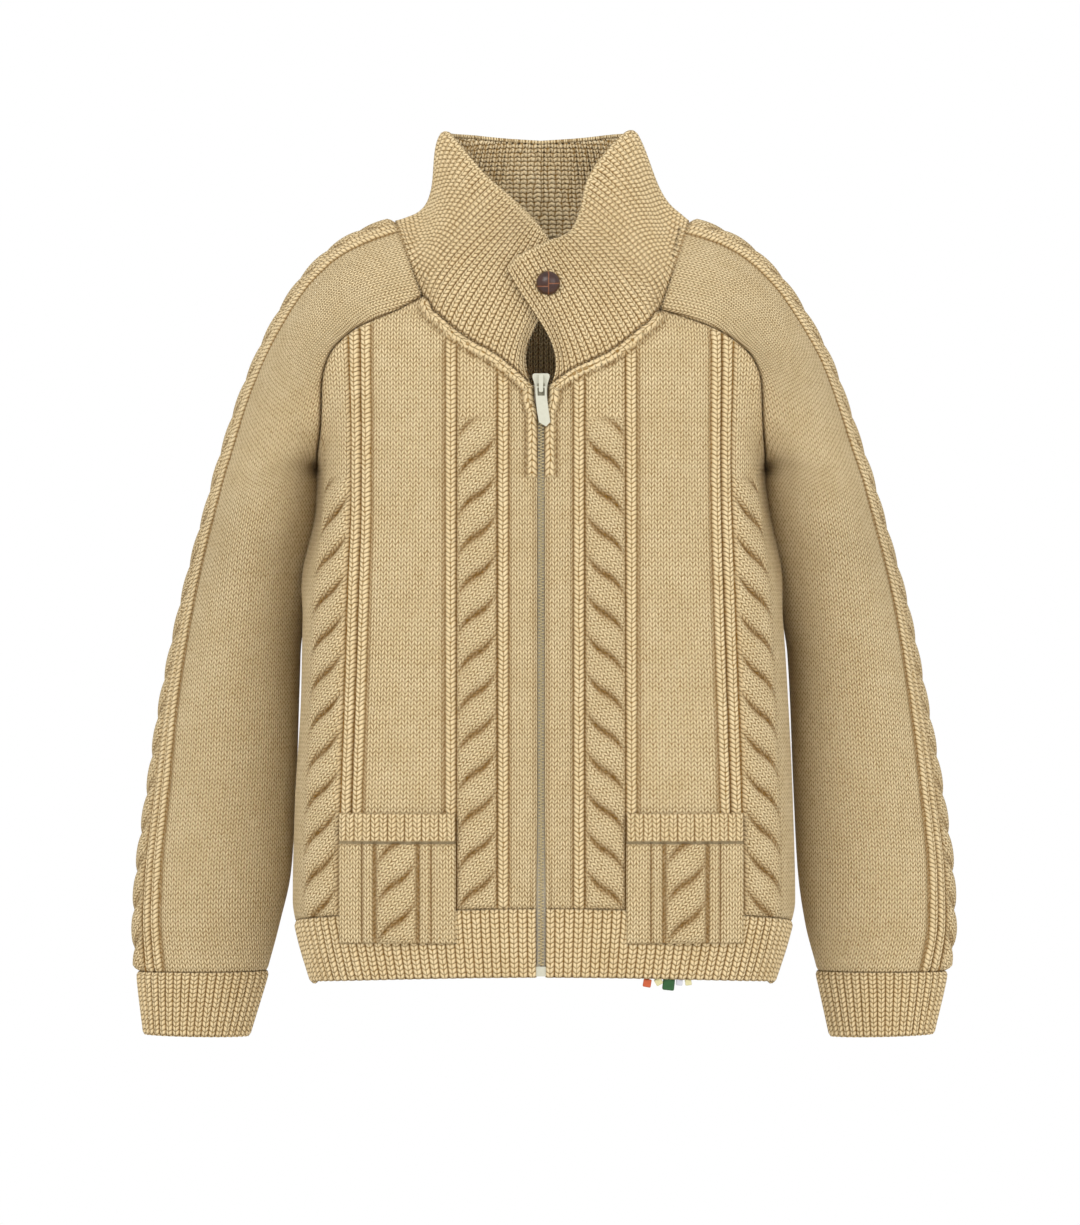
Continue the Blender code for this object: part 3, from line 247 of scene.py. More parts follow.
def sleeve_line(station, side, face):
    """Half a section of the sleeve at each station, from its crest to its seam."""
    station = np.atleast_1d(np.asarray(station, dtype=float))
    crest_x, crest_z = SLEEVE.at("crest_" + side, station), SLEEVE.at("crest_z", station)
    seam_x, seam_z = SLEEVE.at("seam_" + side, station), SLEEVE.at("seam_" + side + "_z", station)
    if face == "back":
        behind = station < UNDERARM_STATION
        seam_x = np.where(behind, SLEEVE.at("back", station), seam_x)
        seam_z = np.where(behind, SLEEVE.at("back_z", station), seam_z)
    wrap = np.radians(SLEEVE.at("wrap", station))
    middle_x = (seam_x - crest_x * np.cos(wrap)) / (1 - np.cos(wrap))
    middle_z = (seam_z - crest_z * np.cos(wrap)) / (1 - np.cos(wrap))
    turn = wrap[:, None] * LINE_STEPS
    x = middle_x[:, None] + (crest_x - middle_x)[:, None] * np.cos(turn)
    z = middle_z[:, None] + (crest_z - middle_z)[:, None] * np.cos(turn)
    reach = SLEEVE.at("half_depth", station)[:, None] * np.sin(turn)
    y = SLEEVE.at("mid_y", station)[:, None] + (reach if face == "back" else -reach)
    return SIGN[side] * x, y, z


def raglan_seam(side, face):
    """The raglan seam from the underarm up: height, distance from the middle, depth."""
    x, y, z = sleeve_line(np.linspace(UNDERARM_STATION, 0.0, 721), side, face)
    return z[:, -1], np.abs(x[:, -1]), np.abs(y[:, -1])


RAGLAN = {(side, face): raglan_seam(side, face) for side in SIGN for face in ("front", "back")}


def torso_line(z, side, face):
    """Half a line round the body at each height, from the middle to the seam or the side."""
    z = np.atleast_1d(np.asarray(z, dtype=float))
    depth, square = TORSO.at("depth_" + face, z), TORSO.at("squareness", z)
    seam_z, seam_x, seam_y = RAGLAN[side, face]
    above = z > UNDERARM_Z
    edge_x, edge_y = np.interp(z, seam_z, seam_x), np.interp(z, seam_z, seam_y)
    through_seam = edge_x / (1 - np.minimum(edge_y / depth, 0.97) ** square) ** (1 / square)
    half = np.where(above, through_seam, TORSO.at("half_" + side, z))
    reach = np.minimum(edge_x / half, 1.0)
    end = np.where(above, np.arcsin(reach ** (square / 2)), math.pi / 2)
    turn = end[:, None] * LINE_STEPS
    power = (2 / square)[:, None]
    x = half[:, None] * np.sin(turn) ** power
    y = depth[:, None] * np.clip(np.cos(turn), 0, 1) ** power
    return SIGN[side] * x, (y if face == "back" else -y), np.broadcast_to(z[:, None], x.shape)


def line_lengths(line):
    x, y, z = line
    steps = np.sqrt(np.diff(x) ** 2 + np.diff(y) ** 2 + np.diff(z) ** 2)
    return np.concatenate([np.zeros((len(x), 1)), np.cumsum(steps, axis=1)], axis=1)


def along(line, distance):
    """The point at a distance along each line."""
    run = line_lengths(line)
    distance = np.atleast_1d(distance)
    i = np.clip((run <= distance[:, None]).sum(axis=1) - 1, 0, run.shape[1] - 2)
    row = np.arange(len(run))
    part = (distance - run[row, i]) / (run[row, i + 1] - run[row, i])
    return np.stack([c[row, i] + part * (c[row, i + 1] - c[row, i]) for c in line], axis=-1)


def torso(u, z, side, face):
    """A point of the body outline: u along the cloth from the middle, at height z."""
    return along(torso_line(z, side, face), u)


def torso_width(z, side, face):
    return line_lengths(torso_line(z, side, face))[:, -1]


def sleeve(u, station, side):
    """A point of the sleeve outline: u along the cloth from the crest, + to the front."""
    u, station = np.atleast_1d(u), np.atleast_1d(station)
    front = along(sleeve_line(station, side, "front"), np.abs(u))
    back = along(sleeve_line(station, side, "back"), np.abs(u))
    return np.where((u >= 0)[:, None], front, back)


def sleeve_width(station, side, face):
    return line_lengths(sleeve_line(station, side, face))[:, -1]


def crest_length():
    stations = np.linspace(0, CUFF_END, 341)
    x, z = SLEEVE.at("crest_left", stations), SLEEVE.at("crest_z", stations)
    run = np.concatenate([[0], np.cumsum(np.hypot(np.diff(x), np.diff(z)))])
    return stations, run


CREST_STATIONS, CREST_RUN = crest_length()


def torso_out(u, z, side, face):
    """Outward direction of the body outline."""
    across = torso(u + 1.5, z, side, face) - torso(np.maximum(u - 1.5, 0), z, side, face)
    down = torso(u, z - 1.5, side, face) - torso(u, z + 1.5, side, face)
    out = unit(np.cross(across, down))
    point = torso(u, z, side, face) * (1, 1, 0)
    return out * np.sign((out * point).sum(axis=-1, keepdims=True))


def sleeve_out(u, station, side):
    """Outward direction of the sleeve outline."""
    across = sleeve(u + 1.5, station, side) - sleeve(u - 1.5, station, side)
    down = sleeve(u, station + 0.04, side) - sleeve(u, station - 0.04, side)
    out = unit(np.cross(across, down))
    face_x = SIGN[side] * SLEEVE.at("crest_" + side, station)
    seam_x = SIGN[side] * SLEEVE.at("seam_" + side, station)
    seam_z = SLEEVE.at("seam_" + side + "_z", station)
    middle = np.stack([(face_x + seam_x) / 2, SLEEVE.at("mid_y", station) + 0 * face_x,
                       (SLEEVE.at("crest_z", station) + seam_z) / 2], axis=-1)
    early = station < UNDERARM_STATION - 3
    inside = np.where(early[:, None], np.stack([seam_x, 0 * seam_x, seam_z - 40], axis=-1), middle)
    toward = sleeve(u, station, side) - inside
    return out * np.sign((out * toward).sum(axis=-1, keepdims=True))


# ---- the raglan seam: where its two edges lie and which way they face ------------------------

def raglan_frame(station, side, face):
    """Seam points, the common outward direction there, and the way towards the body."""
    ends = [np.stack([c[:, -1] for c in sleeve_line(s, side, face)], axis=-1)
            for s in (station, np.minimum(station + 0.05, UNDERARM_STATION), station - 0.05)]
    point, tangent = ends[0], unit(ends[1] - ends[2])
    width = torso_width(point[:, 2], side, face)
    body_out = torso_out(width - 2, point[:, 2], side, face)
    turn = 1 if face == "front" else -1
    sleeve_edge = turn * (sleeve_width(station, side, face) - 2)
    common = unit(body_out + sleeve_out(sleeve_edge, station, side) * 0.999)
    low = smooth_step((station - 7) / 2)[:, None]
    common = (1 - low) * common + low * np.array([0, 0, -1.0])
    lengthwise = (common * tangent).sum(axis=-1, keepdims=True) * tangent
    common = unit(common - (1 - low) * lengthwise)
    inward = unit(np.cross(tangent, common))
    guide = np.array([-SIGN[side], 0, -1.0])
    inward = inward * np.sign((inward * guide).sum(axis=-1, keepdims=True))
    return point, common, inward


# ---- knitted relief ------------------------------------------------------------------------

def spread(u, z):
    """Where a pattern column that is u from the middle at the chest lies at height z."""
    low = smooth_step((-235 - z) / 343)
    return u + SIDE_SPREAD * low * np.clip((u - SPREAD_FROM) / SPREAD_OVER, 0, 1)


def ridge(distance, half, height):
    """A rounded ridge."""
    return height * np.sqrt(np.clip(1 - (distance / half) ** 2, 0, 1))


def dip(distance, half, depth):
    """A narrow groove."""
    return -depth * np.exp(-(distance / half) ** 2)


def rope_relief(x, centre, along_cloth):
    """One raised column of stitches, the grooves beside it, and the painted shade in those grooves."""
    away = np.abs(x - centre)
    lumps = 0.5 + 0.5 * np.cos(2 * math.pi * along_cloth / COURSE)
    height = ridge(away, 4.3, ROPE_HEIGHT * (0.94 + 0.12 * lumps))
    # the furrow beside the column: sunk into the relief, and also returned as painted shade
    groove = np.exp(-((away - 5.0) / 1.1) ** 2)
    return height - 1.5 * groove, groove


def with_ropes(height, groove, x, ropes, along_cloth):
    """The relief and groove shade with raised columns added."""
    for rope in ropes:
        here, line = rope_relief(x, rope, along_cloth)
        height, groove = height + here, np.maximum(groove, line)
    return height, groove


def with_cable_edge(height, groove, away):
    """The relief and groove shade with the furrow along a cable's edge added."""
    return height + dip(away, 1.2, 1.0), np.maximum(groove, 0.9 * np.exp(-(away / 1.1) ** 2))


def strand_map(across, up, lean):
    """The knit map of stitches that lean over with a cable's strand."""
    turn = -lean * STRAND_TURN
    return np.stack([(across * math.cos(turn) + up * math.sin(turn)) / WALE,
                     (-across * math.sin(turn) + up * math.cos(turn)) / COURSE], axis=-1)


def wale_map():
    """Breakpoints: place across the pattern, and the stitches counted up to there.

    A raised column is one stitch wide, and everything between has whole stitches.
    """
    columns = [(rope - ROPE_HALF, rope + ROPE_HALF, 1) for rope in ROPES]
    columns += [(centre - half, centre + half, int(2 * half / WALE)) for centre, half in CABLES]
    places, counts = [0.0], [0]
    for start, end, stitches in sorted(columns):
        counts.append(counts[-1] + int(round(max(start - places[-1], 0) / WALE)))
        places.append(max(start, places[-1]))
        counts.append(counts[-1] + stitches)
        places.append(end)
    counts.append(counts[-1] + int(round((330 - places[-1]) / WALE)))
    places.append(330.0)
    return places, counts


def cable_relief(x, centre, half, rise, lean, began):
    """A rope cable: its height and the painted shade in its creases. rise: distance up the cloth, began:
    0 above the first crossing, 1 below it.
    """
    place = (x - centre) / half
    inside = np.clip(1 - np.abs(place) ** 4, 0, 1) ** 0.8
    strand = (rise - lean * CABLE_SLOPE * (x - centre)
              + lean * 2.6 * np.sin(math.pi * place)) / CABLE_PITCH
    away = np.abs(strand - np.round(strand)) * CABLE_PITCH * 0.69
    middle = np.clip(1.3 - 0.6 * np.abs(place), 0, 1)
    crease = np.exp(-(away / 2.6) ** 2) * began * middle
    lobe = ridge(away - 11.4, 12.6, 1.0)
    height = inside * ((1 - began) * 0.8 + began * (CREASE_HEIGHT - 1.6 + 4.6 * lobe) - 2.6 * crease)
    # painted shade along the creases between the strands
    line = (np.exp(-(away / 1.9) ** 2) + 0.24 * np.exp(-(away / 4.4) ** 2)) * began * inside * middle
    return height, np.clip(line, 0, 1)


def rib_relief(place, height):
    """A 1x1 rib at a place counted in ribs: crest at 0.5, 1.5... Gives its height and the painted shade
    in the furrows between the ribs.
    """
    across = np.abs(place - np.floor(place) - 0.5) * 2
    return height * (1 - across ** 2.4), np.clip((across - 0.72) / 0.28, 0, 1) ** 1.5


def band_height(relief, down, edge):
    """A ribbed band's relief: low at its seam, and rounded over beyond the edge's distance down."""
    height = relief[None, :] * (1 - 0.5 * np.exp(-down / 2)) + seam_roll(down, 2.4, 0.8)
    return height - 1.2 * np.clip((down - edge) / 2.5, 0, 1) ** 2


# ---- sheets --------------------------------------------------------------------------------

def new_piece(name, bm, *finishes):
    """An object made from a bmesh, with its materials."""
    mesh = bpy.data.meshes.new(name)
    bm.to_mesh(mesh)
    bm.free()
    for finish in finishes:
        mesh.materials.append(finish)
    made = bpy.data.objects.new(name, mesh)
    bpy.context.scene.collection.objects.link(made)
    return made


def faces_out(points, out):
    """Whether the grid's own faces already point outwards."""
    r, c = points.shape[0] // 2, points.shape[1] // 2
    across = points[r, c + 1] - points[r, c]
    up = points[r + 1, c] - points[r, c]
    return float(np.dot(np.cross(across, up), out[r, c])) > 0


def sheet_from(name, points, out, knit, groove, turned=None, thickness=CLOTH, finish="wool"):
    """A sheet through a grid of points, with its knit map in stitches.

    turned marks the points whose stitches follow a cable's strands, and gives their map there.
    """
    rows, columns = points.shape[:2]
    bm = bmesh.new()
    # The groove layer holds how much painted shade the wool finish lays at each point, in grooves,
    # creases and along seams
    shade = bm.verts.layers.float.new("groove")
    layer = bm.loops.layers.uv.new("knit")
    made = bmesh.ops.create_grid(bm, x_segments=columns - 1, y_segments=rows - 1, size=1)["verts"]
    for vert, point, value in zip(made, points.reshape(-1, 3), groove.reshape(-1)):
        vert.co = point * MM
        vert[shade] = value
    bm.verts.index_update()
    plain = strands = knit.reshape(-1, 2)
    inside = np.zeros(len(plain), dtype=bool)
    if turned:
        inside, strands = turned[0].reshape(-1), turned[1].reshape(-1, 2)
    for face in bm.faces:
        face.smooth = True
        map_here = strands if all(inside[vert.index] for vert in face.verts) else plain
        for loop in face.loops:
            loop[layer].uv = map_here[loop.vert.index]
    if not faces_out(points, out):
        bmesh.ops.reverse_faces(bm, faces=bm.faces)
    bmesh.ops.remove_doubles(bm, verts=bm.verts, dist=0.00002)
    piece = new_piece(name, bm, FINISHES[finish], FINISHES["inside"])
    wall = piece.modifiers.new("cloth", "SOLIDIFY")
    wall.thickness = thickness * MM
    wall.offset = -1
    wall.material_offset = 1
    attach(piece, "garment")
    return piece


def seam_roll(distance, reach=2.4, depth=1.3):
    """How far cloth sinks beside a seam."""
    return -depth * np.clip(1 - distance / reach, 0, 1) ** 2


def join_halves(left, right):
    """The grids of two halves as one, joined at the middle."""
    return [np.concatenate([a[:, ::-1], b[:, 1:]], axis=1) for a, b in zip(left, right)]


# ---- fronts and back -----------------------------------------------------------------------

def zip_edge(z):
    """The front's edge from the middle of the zip: wide round the slider, close below it."""
    return ZIP_EDGE_X - 3.3 * smooth_step((-152 - z) / 16) + 1.2 * smooth_step((-480 - z) / 110)


def panel_places():
    """Columns across half the body, close together where the cables and ribs are."""
    places = list(np.arange(0, 31.5, 2.1)) + [6.0, 9.6]
    for rope in ROPES:
        places += list(np.arange(rope - 5.7, rope + 5.8, 1.27))
    for centre, half in CABLES:
        places += list(np.linspace(centre - half, centre + half, 23))
    places += list(np.arange(82, 144, 3.1)) + list(np.arange(206, 330, 3.3))
    kept = []
    for place in sorted(places):
        if not kept or place - kept[-1] > 0.8:
            kept.append(place)
    return np.array(kept)


def panel_half(side, face, row_step):
    """Outline points, outward directions, pattern places and edge distances of half a panel."""
    seam_z, _, _ = RAGLAN[side, face]
    fine = np.linspace(UNDERARM_STATION, 0.0, 721)
    top = seam_z[-1]
    count = int((top - UNDERARM_Z) / row_step)
    upper = np.linspace(top, UNDERARM_Z, count + 1)
    stations = np.interp(upper, seam_z, fine)
    lower_count = int((UNDERARM_Z - HEM_TOP_CENTRE_Z) / row_step)
    lower = np.linspace(UNDERARM_Z, HEM_TOP_CENTRE_Z, lower_count + 1)[1:]
    heights = np.concatenate([upper, lower])
    frame_there = raglan_frame(stations, side, face)
    places = panel_places()
    rows = []
    for row, z in enumerate(heights):
        width = torso_width(z, side, face)[0]
        near = 0.0
        if face == "front":
            near = float(NECK.at(side, z)) if z > NECK_POINT_Z - 1 else float(zip_edge(z))
            near = near * 1.02 if near > 50 else near
            near = min(near, width - 7.0)
        raglan = row < len(upper)
        room = 0.12 if raglan else 0.1
        x = np.clip(places, 0, 330)
        u = np.clip(spread(x, z), near, width - room)
        z_row = np.full(len(u), z)
        if face == "front" and top - z < 16:
            tip = (NECK_TIP_Z[side] - top) * (1 - (top - z) / 16)
            z_row = z + tip * np.clip((width - u) / (width - near), 0, 1)
        part = np.clip(u / width, 0, 1)
        down = smooth_step((-540 - z) / 42)
        z_row = z_row - HEM_TOP_DROP * part ** 2 * down
        if row == len(heights) - 1:
            z_row = z_row + 0.1
        if not raglan:
            u = np.minimum(part * torso_width(z_row, side, face), torso_width(z_row, side, face) - room)
        points, out = torso(u, z_row, side, face), torso_out(u, z_row, side, face)
        if raglan:
            blend = smooth_step(1 - (width - u) / 16)[:, None]
            out = unit(out * (1 - blend) + frame_there[1][row] * blend)
            gone = u >= width - room - 1e-6
            points[gone] = frame_there[0][row] + frame_there[2][row] * room
        elif row > len(upper) + 2:
            blend = smooth_step(1 - (width - u) / 8)[:, None]
            out = unit(out * (1 - blend) + np.array([SIGN[side], 0, 0]) * blend)
        # Pattern place of each column where the panel's edge cuts it off
        x = np.interp(u, spread(places, z), places) if raglan or z > -236 else x
        rows.append((points, out, x, u - near, width - u, z_row))
    return [np.array([r[i] for r in rows]) for i in range(6)], len(upper)


def neck_braid(points, edge):
    """Distance from the neck edge, and distance along it, of each point near it."""
    flat = points.reshape(-1, 3)
    gaps = np.linalg.norm(flat[:, None, :] - edge[None, :, :], axis=2)
    nearest = gaps.argmin(axis=1)
    run = np.concatenate([[0], np.cumsum(np.linalg.norm(np.diff(edge, axis=0), axis=1))])
    shape = points.shape[:2]
    return gaps.min(axis=1).reshape(shape), run[nearest].reshape(shape)


def panel_relief(half, side, face, lean, upper):
    """Height, groove shade and knit map of half a panel."""
    points, _, x, near, far, z = half
    height, groove = with_ropes(np.zeros(x.shape), np.zeros(x.shape), x, ROPES, z)
    inside = np.zeros(x.shape, dtype=bool)
    strands = np.zeros(x.shape + (2,))
    for (centre, width), top in zip(CABLES, CABLE_TOPS):
        began = smooth_step((top + 6 - z) / 18)
        here, line = cable_relief(x, centre, width, z - top, lean, began)
        height, groove = height + here, np.maximum(groove, line)
        band = (np.abs(x - centre) < width - 0.6) & (z < top)
        inside |= band
        strands[band] = strand_map(x - centre, z, lean)[band]
        for edge in (centre - width, centre + width):
            height, groove = with_cable_edge(height, groove, x - edge)
    if face == "front":
        edge_step = np.exp(-((near - 4.0) / 0.9) ** 2) * (z < NECK_POINT_Z)
        height += -0.8 * edge_step + 0.5 * (near < 3.6) * (z < NECK_POINT_Z)
        # painted shade along the step beside the zip edge
        groove = np.maximum(groove, 0.7 * edge_step)
        height += np.where(z < NECK_POINT_Z - 4, seam_roll(near, 1.6, 1.6), 0)
        rows = upper + 2
        distance, run = neck_braid(points[:rows], points[:rows, 0])
        quiet = smooth_step((distance - 10) / 4)
        lumps = 0.5 + 0.5 * np.cos(2 * math.pi * run / 6.8 + distance * 0.7)
        braid = ridge(distance - 5.4, 4.4, 3.6) * (0.55 + 0.45 * lumps)
        pits = np.exp(-((distance - 10.4) / 1.6) ** 2) * (0.5 + 0.7 * (1 - lumps))
        height[:rows] = height[:rows] * quiet + braid + seam_roll(distance, 1.6, 0.8) - 1.6 * pits
        braided = distance < BRAID_WIDTH
        inside[:rows] |= braided
        strands[:rows][braided] = np.stack([distance / BRAID_WIDTH, run / 5.2], axis=-1)[braided]
        # painted shade in the braid's pits and along the neck seam
        lines = pits + 0.5 * np.exp(-((distance - 0.8) / 0.9) ** 2)
        groove[:rows] = np.maximum(groove[:rows] * quiet, 0.9 * np.clip(lines, 0, 1))
    else:
        height[0:2] += -0.8
    fade = smooth_step((far - 1.0) / 4)
    armpit = smooth_step((-200 - z) / 20) * smooth_step((345 + z) / 60) * smooth_step((40 - far) / 36)
    height = height * fade + seam_roll(far) + BODY_ARMPIT * armpit
    last = smooth_step((z - z[-1:]) / 4)
    height = height * last + seam_roll(z - z[-1:], 2.0, 1.0)
    # painted shade along the seams at the panel's outer edge
    groove = np.maximum(groove * fade, 0.7 * np.exp(-(far / 1.2) ** 2))
    knit = np.stack([SIGN[side] * np.interp(x, *wale_map()), z / COURSE], axis=-1)
    strands[..., 0] *= SIGN[side]
    return height, groove, knit, (inside, strands)


def panel(side, face):
    """Grids of half a panel: outer points, outward directions, knit map, groove, strand map."""
    lean = -1.0
    half, upper = panel_half(side, face, 2.3 if face == "front" else 3.6)
    height, groove, knit, turned = panel_relief(half, side, face, lean, upper)
    points, out = half[0], half[1]
    return [points + out * (height - OUTLINE_INSET)[..., None], out, knit, groove, *turned]


def fronts_and_back():
    made, edges = {}, {}
    for side in SIGN:
        grids = panel(side, "front")
        name = "knit_front_" + side
        made[name] = sheet_from(name, *grids[:4], grids[4:])
        edges[side, "front"] = grids[:2]
    halves = {side: panel(side, "back") for side in SIGN}
    joined = join_halves(halves["left"], halves["right"])
    made["knit_back"] = sheet_from("knit_back", *joined[:4], joined[4:])
    for side in SIGN:
        edges[side, "back"] = halves[side][:2]
    return made, edges


# ---- sleeves and cuffs ---------------------------------------------------------------------

def sleeve_places():
    near = list(np.linspace(0, SLEEVE_CABLE_HALF, 13))
    for rope in SLEEVE_ROPES:
        near += list(np.arange(rope - 5.4, rope + 5.5, 1.35))
    return np.array(sorted(set(np.round(near, 3))))


def sleeve_sheet(side):
    seam_span = np.interp(UNDERARM_STATION, CREST_STATIONS, CREST_RUN)
    whole = np.interp(CUFF_STATION, CREST_STATIONS, CREST_RUN)
    rows = np.linspace(0, whole - 0.1, int(whole / 2.8))
    stations = np.interp(rows, CREST_RUN, CREST_STATIONS)
    places = sleeve_places()
    kept = [places[0]]
    for place in places[1:]:
        if place - kept[-1] > 0.9:
            kept.append(place)
    near = np.array(kept)
    rest = np.linspace(0, 1, 30)[1:]
    upper = np.minimum(stations, UNDERARM_STATION)
    frames = {face: raglan_frame(upper, side, face) for face in ("front", "back")}
    lean = 1.0
    all_points, all_out, all_u, all_far = [], [], [], []
    for row, station in enumerate(stations):
        halves = []
        for turn, face in ((-1, "back"), (1, "front")):
            width = sleeve_width(station, side, face)[0] - 0.1
            u = np.concatenate([near, near[-1] + (width - near[-1]) * rest])
            halves.append((turn * u, width - u))
        u = np.concatenate([halves[0][0][::-1], halves[1][0][1:]])
        far = np.concatenate([halves[0][1][::-1], halves[1][1][1:]])
        where = np.full(len(u), station)
        points, out = sleeve(u, where, side), sleeve_out(u, where, side)
        if station <= UNDERARM_STATION:
            for edge, face in ((0, "back"), (-1, "front")):
                blend = smooth_step(1 - np.abs(u - u[edge]) / 16)[:, None]
                out = unit(out * (1 - blend) + frames[face][1][row] * blend)
                points[edge] = frames[face][0][row] - frames[face][2][row] * 0.12
        else:
            out[[0, -1]] = unit(out[0] + out[-1])
        all_points.append(points)
        all_out.append(out)
        all_u.append(u)
        all_far.append(far)
    points, out, u, far = (np.array(v) for v in (all_points, all_out, all_u, all_far))
    run = np.broadcast_to(-rows[:, None], u.shape)
    x = np.abs(u)
    height, groove = cable_relief(u, 0.0, SLEEVE_CABLE_HALF, run, lean, np.ones(u.shape))
    height, groove = with_ropes(height, groove, x, SLEEVE_ROPES, run)
    height, groove = with_cable_edge(height, groove, x - SLEEVE_CABLE_HALF)
    fade = smooth_step((far - 1.0) / 4)
    below = -run - seam_span
    armpit = (smooth_step((below + 10) / 22) * smooth_step((150 - below) / 70)
              * smooth_step((60 - far) / 50))
    height = height * fade + seam_roll(far, 2.4, 1.2) + SLEEVE_ARMPIT * armpit
    ends = smooth_step(np.minimum(-run, whole + run) / 5)
    height = height * ends + seam_roll(np.minimum(-run, whole + run), 2.0, 1.0)
    # painted shade along the sleeve's seams
    groove = np.maximum(groove * fade, 0.7 * np.exp(-(far / 1.2) ** 2))
    inner, outer = SLEEVE_ROPES
    steps = [0, SLEEVE_CABLE_HALF, inner - ROPE_HALF, inner + ROPE_HALF, outer + ROPE_HALF, 400]
    counts = [0, 4, 4, 5, 6, 6 + round((400 - steps[4]) / WALE)]
    knit = np.stack([np.sign(u) * np.interp(x, steps, counts), run / COURSE], axis=-1)
    faces = points + out * (height - OUTLINE_INSET)[..., None]
    turned = (x < SLEEVE_CABLE_HALF - 0.6, strand_map(u, run, lean))
    made = sheet_from("knit_sleeve_" + side, faces, out, knit, groove, turned)
    return made, (points[0], out[0])


def cuff_sheet(side):
    width = sleeve_width((CUFF_STATION + CUFF_END) / 2, side, "front")[0]
    count = int(round(2 * width / CUFF_RIB))
    places = np.linspace(0, 1, count * 6 + 1)
    relief, groove = rib_relief(places * count, RIB_HEIGHT + 0.5)
    stations = np.linspace(CUFF_STATION + 0.001, CUFF_END, 20)
    points, outs = [], []
    for station in stations:
        reach = sleeve_width(station, side, "front")[0] - 0.05
        where = np.full(len(places), station)
        u = reach * (2 * places - 1)
        here, out = sleeve(u, where, side), sleeve_out(u, where, side)
        out[[0, -1]] = unit(out[0] + out[-1])
        points.append(here)
        outs.append(out)
    points, outs = np.array(points), np.array(outs)
    down = np.linspace(0, 55, len(stations))[:, None]
    height = band_height(relief, down, 52.5)
    faces = points + outs * (height - OUTLINE_INSET)[..., None]
    shade = np.broadcast_to(groove[None, :], height.shape)
    knit = np.stack(np.broadcast_arrays(places[None, :] * count, -down / COURSE), axis=-1)
    return sheet_from("knit_cuff_" + side, faces, outs, knit, shade, finish="rib_wool")


# ---- hem -----------------------------------------------------------------------------------

def hem_part(side, face, near):
    reach = torso_width(HEM_TOP_CENTRE_Z, side, face)[0]
    count = int(round((reach - near) / HEM_RIB))
    places = np.linspace(0, 1, count * 6 + 1)
    relief, groove = rib_relief(places * count, RIB_HEIGHT + 0.5)
    across = (near + (reach - near) * places) / reach
    points, outs = [], []
    levels = np.linspace(0, 1, 20)
    for down in levels:
        top = HEM_TOP_CENTRE_Z - HEM_TOP_DROP * across ** 2 - 0.1
        end = HEM_BOTTOM_CENTRE_Z - HEM_BOTTOM_DROP * across ** 2
        z = top * (1 - down) + end * down
        u = across * torso_width(z, side, face)
        here, out = torso(u, z, side, face), torso_out(u, z, side, face)
        blend = smooth_step(1 - (u[-1] - u) / 6)[:, None]
        out = unit(out * (1 - blend) + np.array([SIGN[side], 0, 0]) * blend)
        points.append(here)
        outs.append(out)
    depth = levels[:, None] * 54
    height = band_height(relief, depth, 51.5)
    if face == "front":
        height = height + seam_roll((across * reach - near)[None, :], 1.6, 1.6)
    points, outs = np.array(points), np.array(outs)
    faces = points + outs * (height - OUTLINE_INSET)[..., None]
    shade = np.broadcast_to(groove[None, :], height.shape)
    wales = SIGN[side] * places[None, :] * count
    knit = np.stack(np.broadcast_arrays(wales, -depth / COURSE), axis=-1)
    return faces, outs, knit, shade


def hem_sheets():
    near = float(zip_edge(HEM_TOP_CENTRE_Z))
    parts = {side: hem_part(side, "front", near) for side in SIGN}
    parts["back"] = join_halves(hem_part("left", "back", 0.0), hem_part("right", "back", 0.0))
    return {"knit_hem_" + name: sheet_from("knit_hem_" + name, *grids, finish="rib_wool")
            for name, grids in parts.items()}


# ---- collar --------------------------------------------------------------------------------

def neck_seam(side, edges, cap):
    """The neck seam of one side from the zip to the middle of the back, with its directions."""
    front_points, front_out = edges[side, "front"]
    zip_row = int(np.argmin(np.abs(front_points[:, 0, 2] - NECK_POINT_Z)))
    points = list(front_points[zip_row::-1, 0])
    outs = list(front_out[zip_row::-1, 0])
    cap_points, cap_out = cap
    back_points, back_out = edges[side, "back"]
    for i in range(len(cap_points) - 1, -1, -1):
        points.append(cap_points[i] - cap_out[i] * OUTLINE_INSET)
        outs.append(cap_out[i])
    row, out = back_points[0], back_out[0]
    last = points[-1]
    for i in range(len(row) - 1, -1, -1):
        if abs(row[i, 0]) < abs(last[0]) - 1:
            points.append(row[i])
            outs.append(out[i])
    points, outs = np.array(points), np.array(outs)
    keep = np.concatenate([[True], np.linalg.norm(np.diff(points, axis=0), axis=1) > 0.05])
    points, outs = points[keep], outs[keep]
    run = np.concatenate([[0], np.cumsum(np.linalg.norm(np.diff(points, axis=0), axis=1))])
    return points + outs * OUTLINE_INSET, outs, run


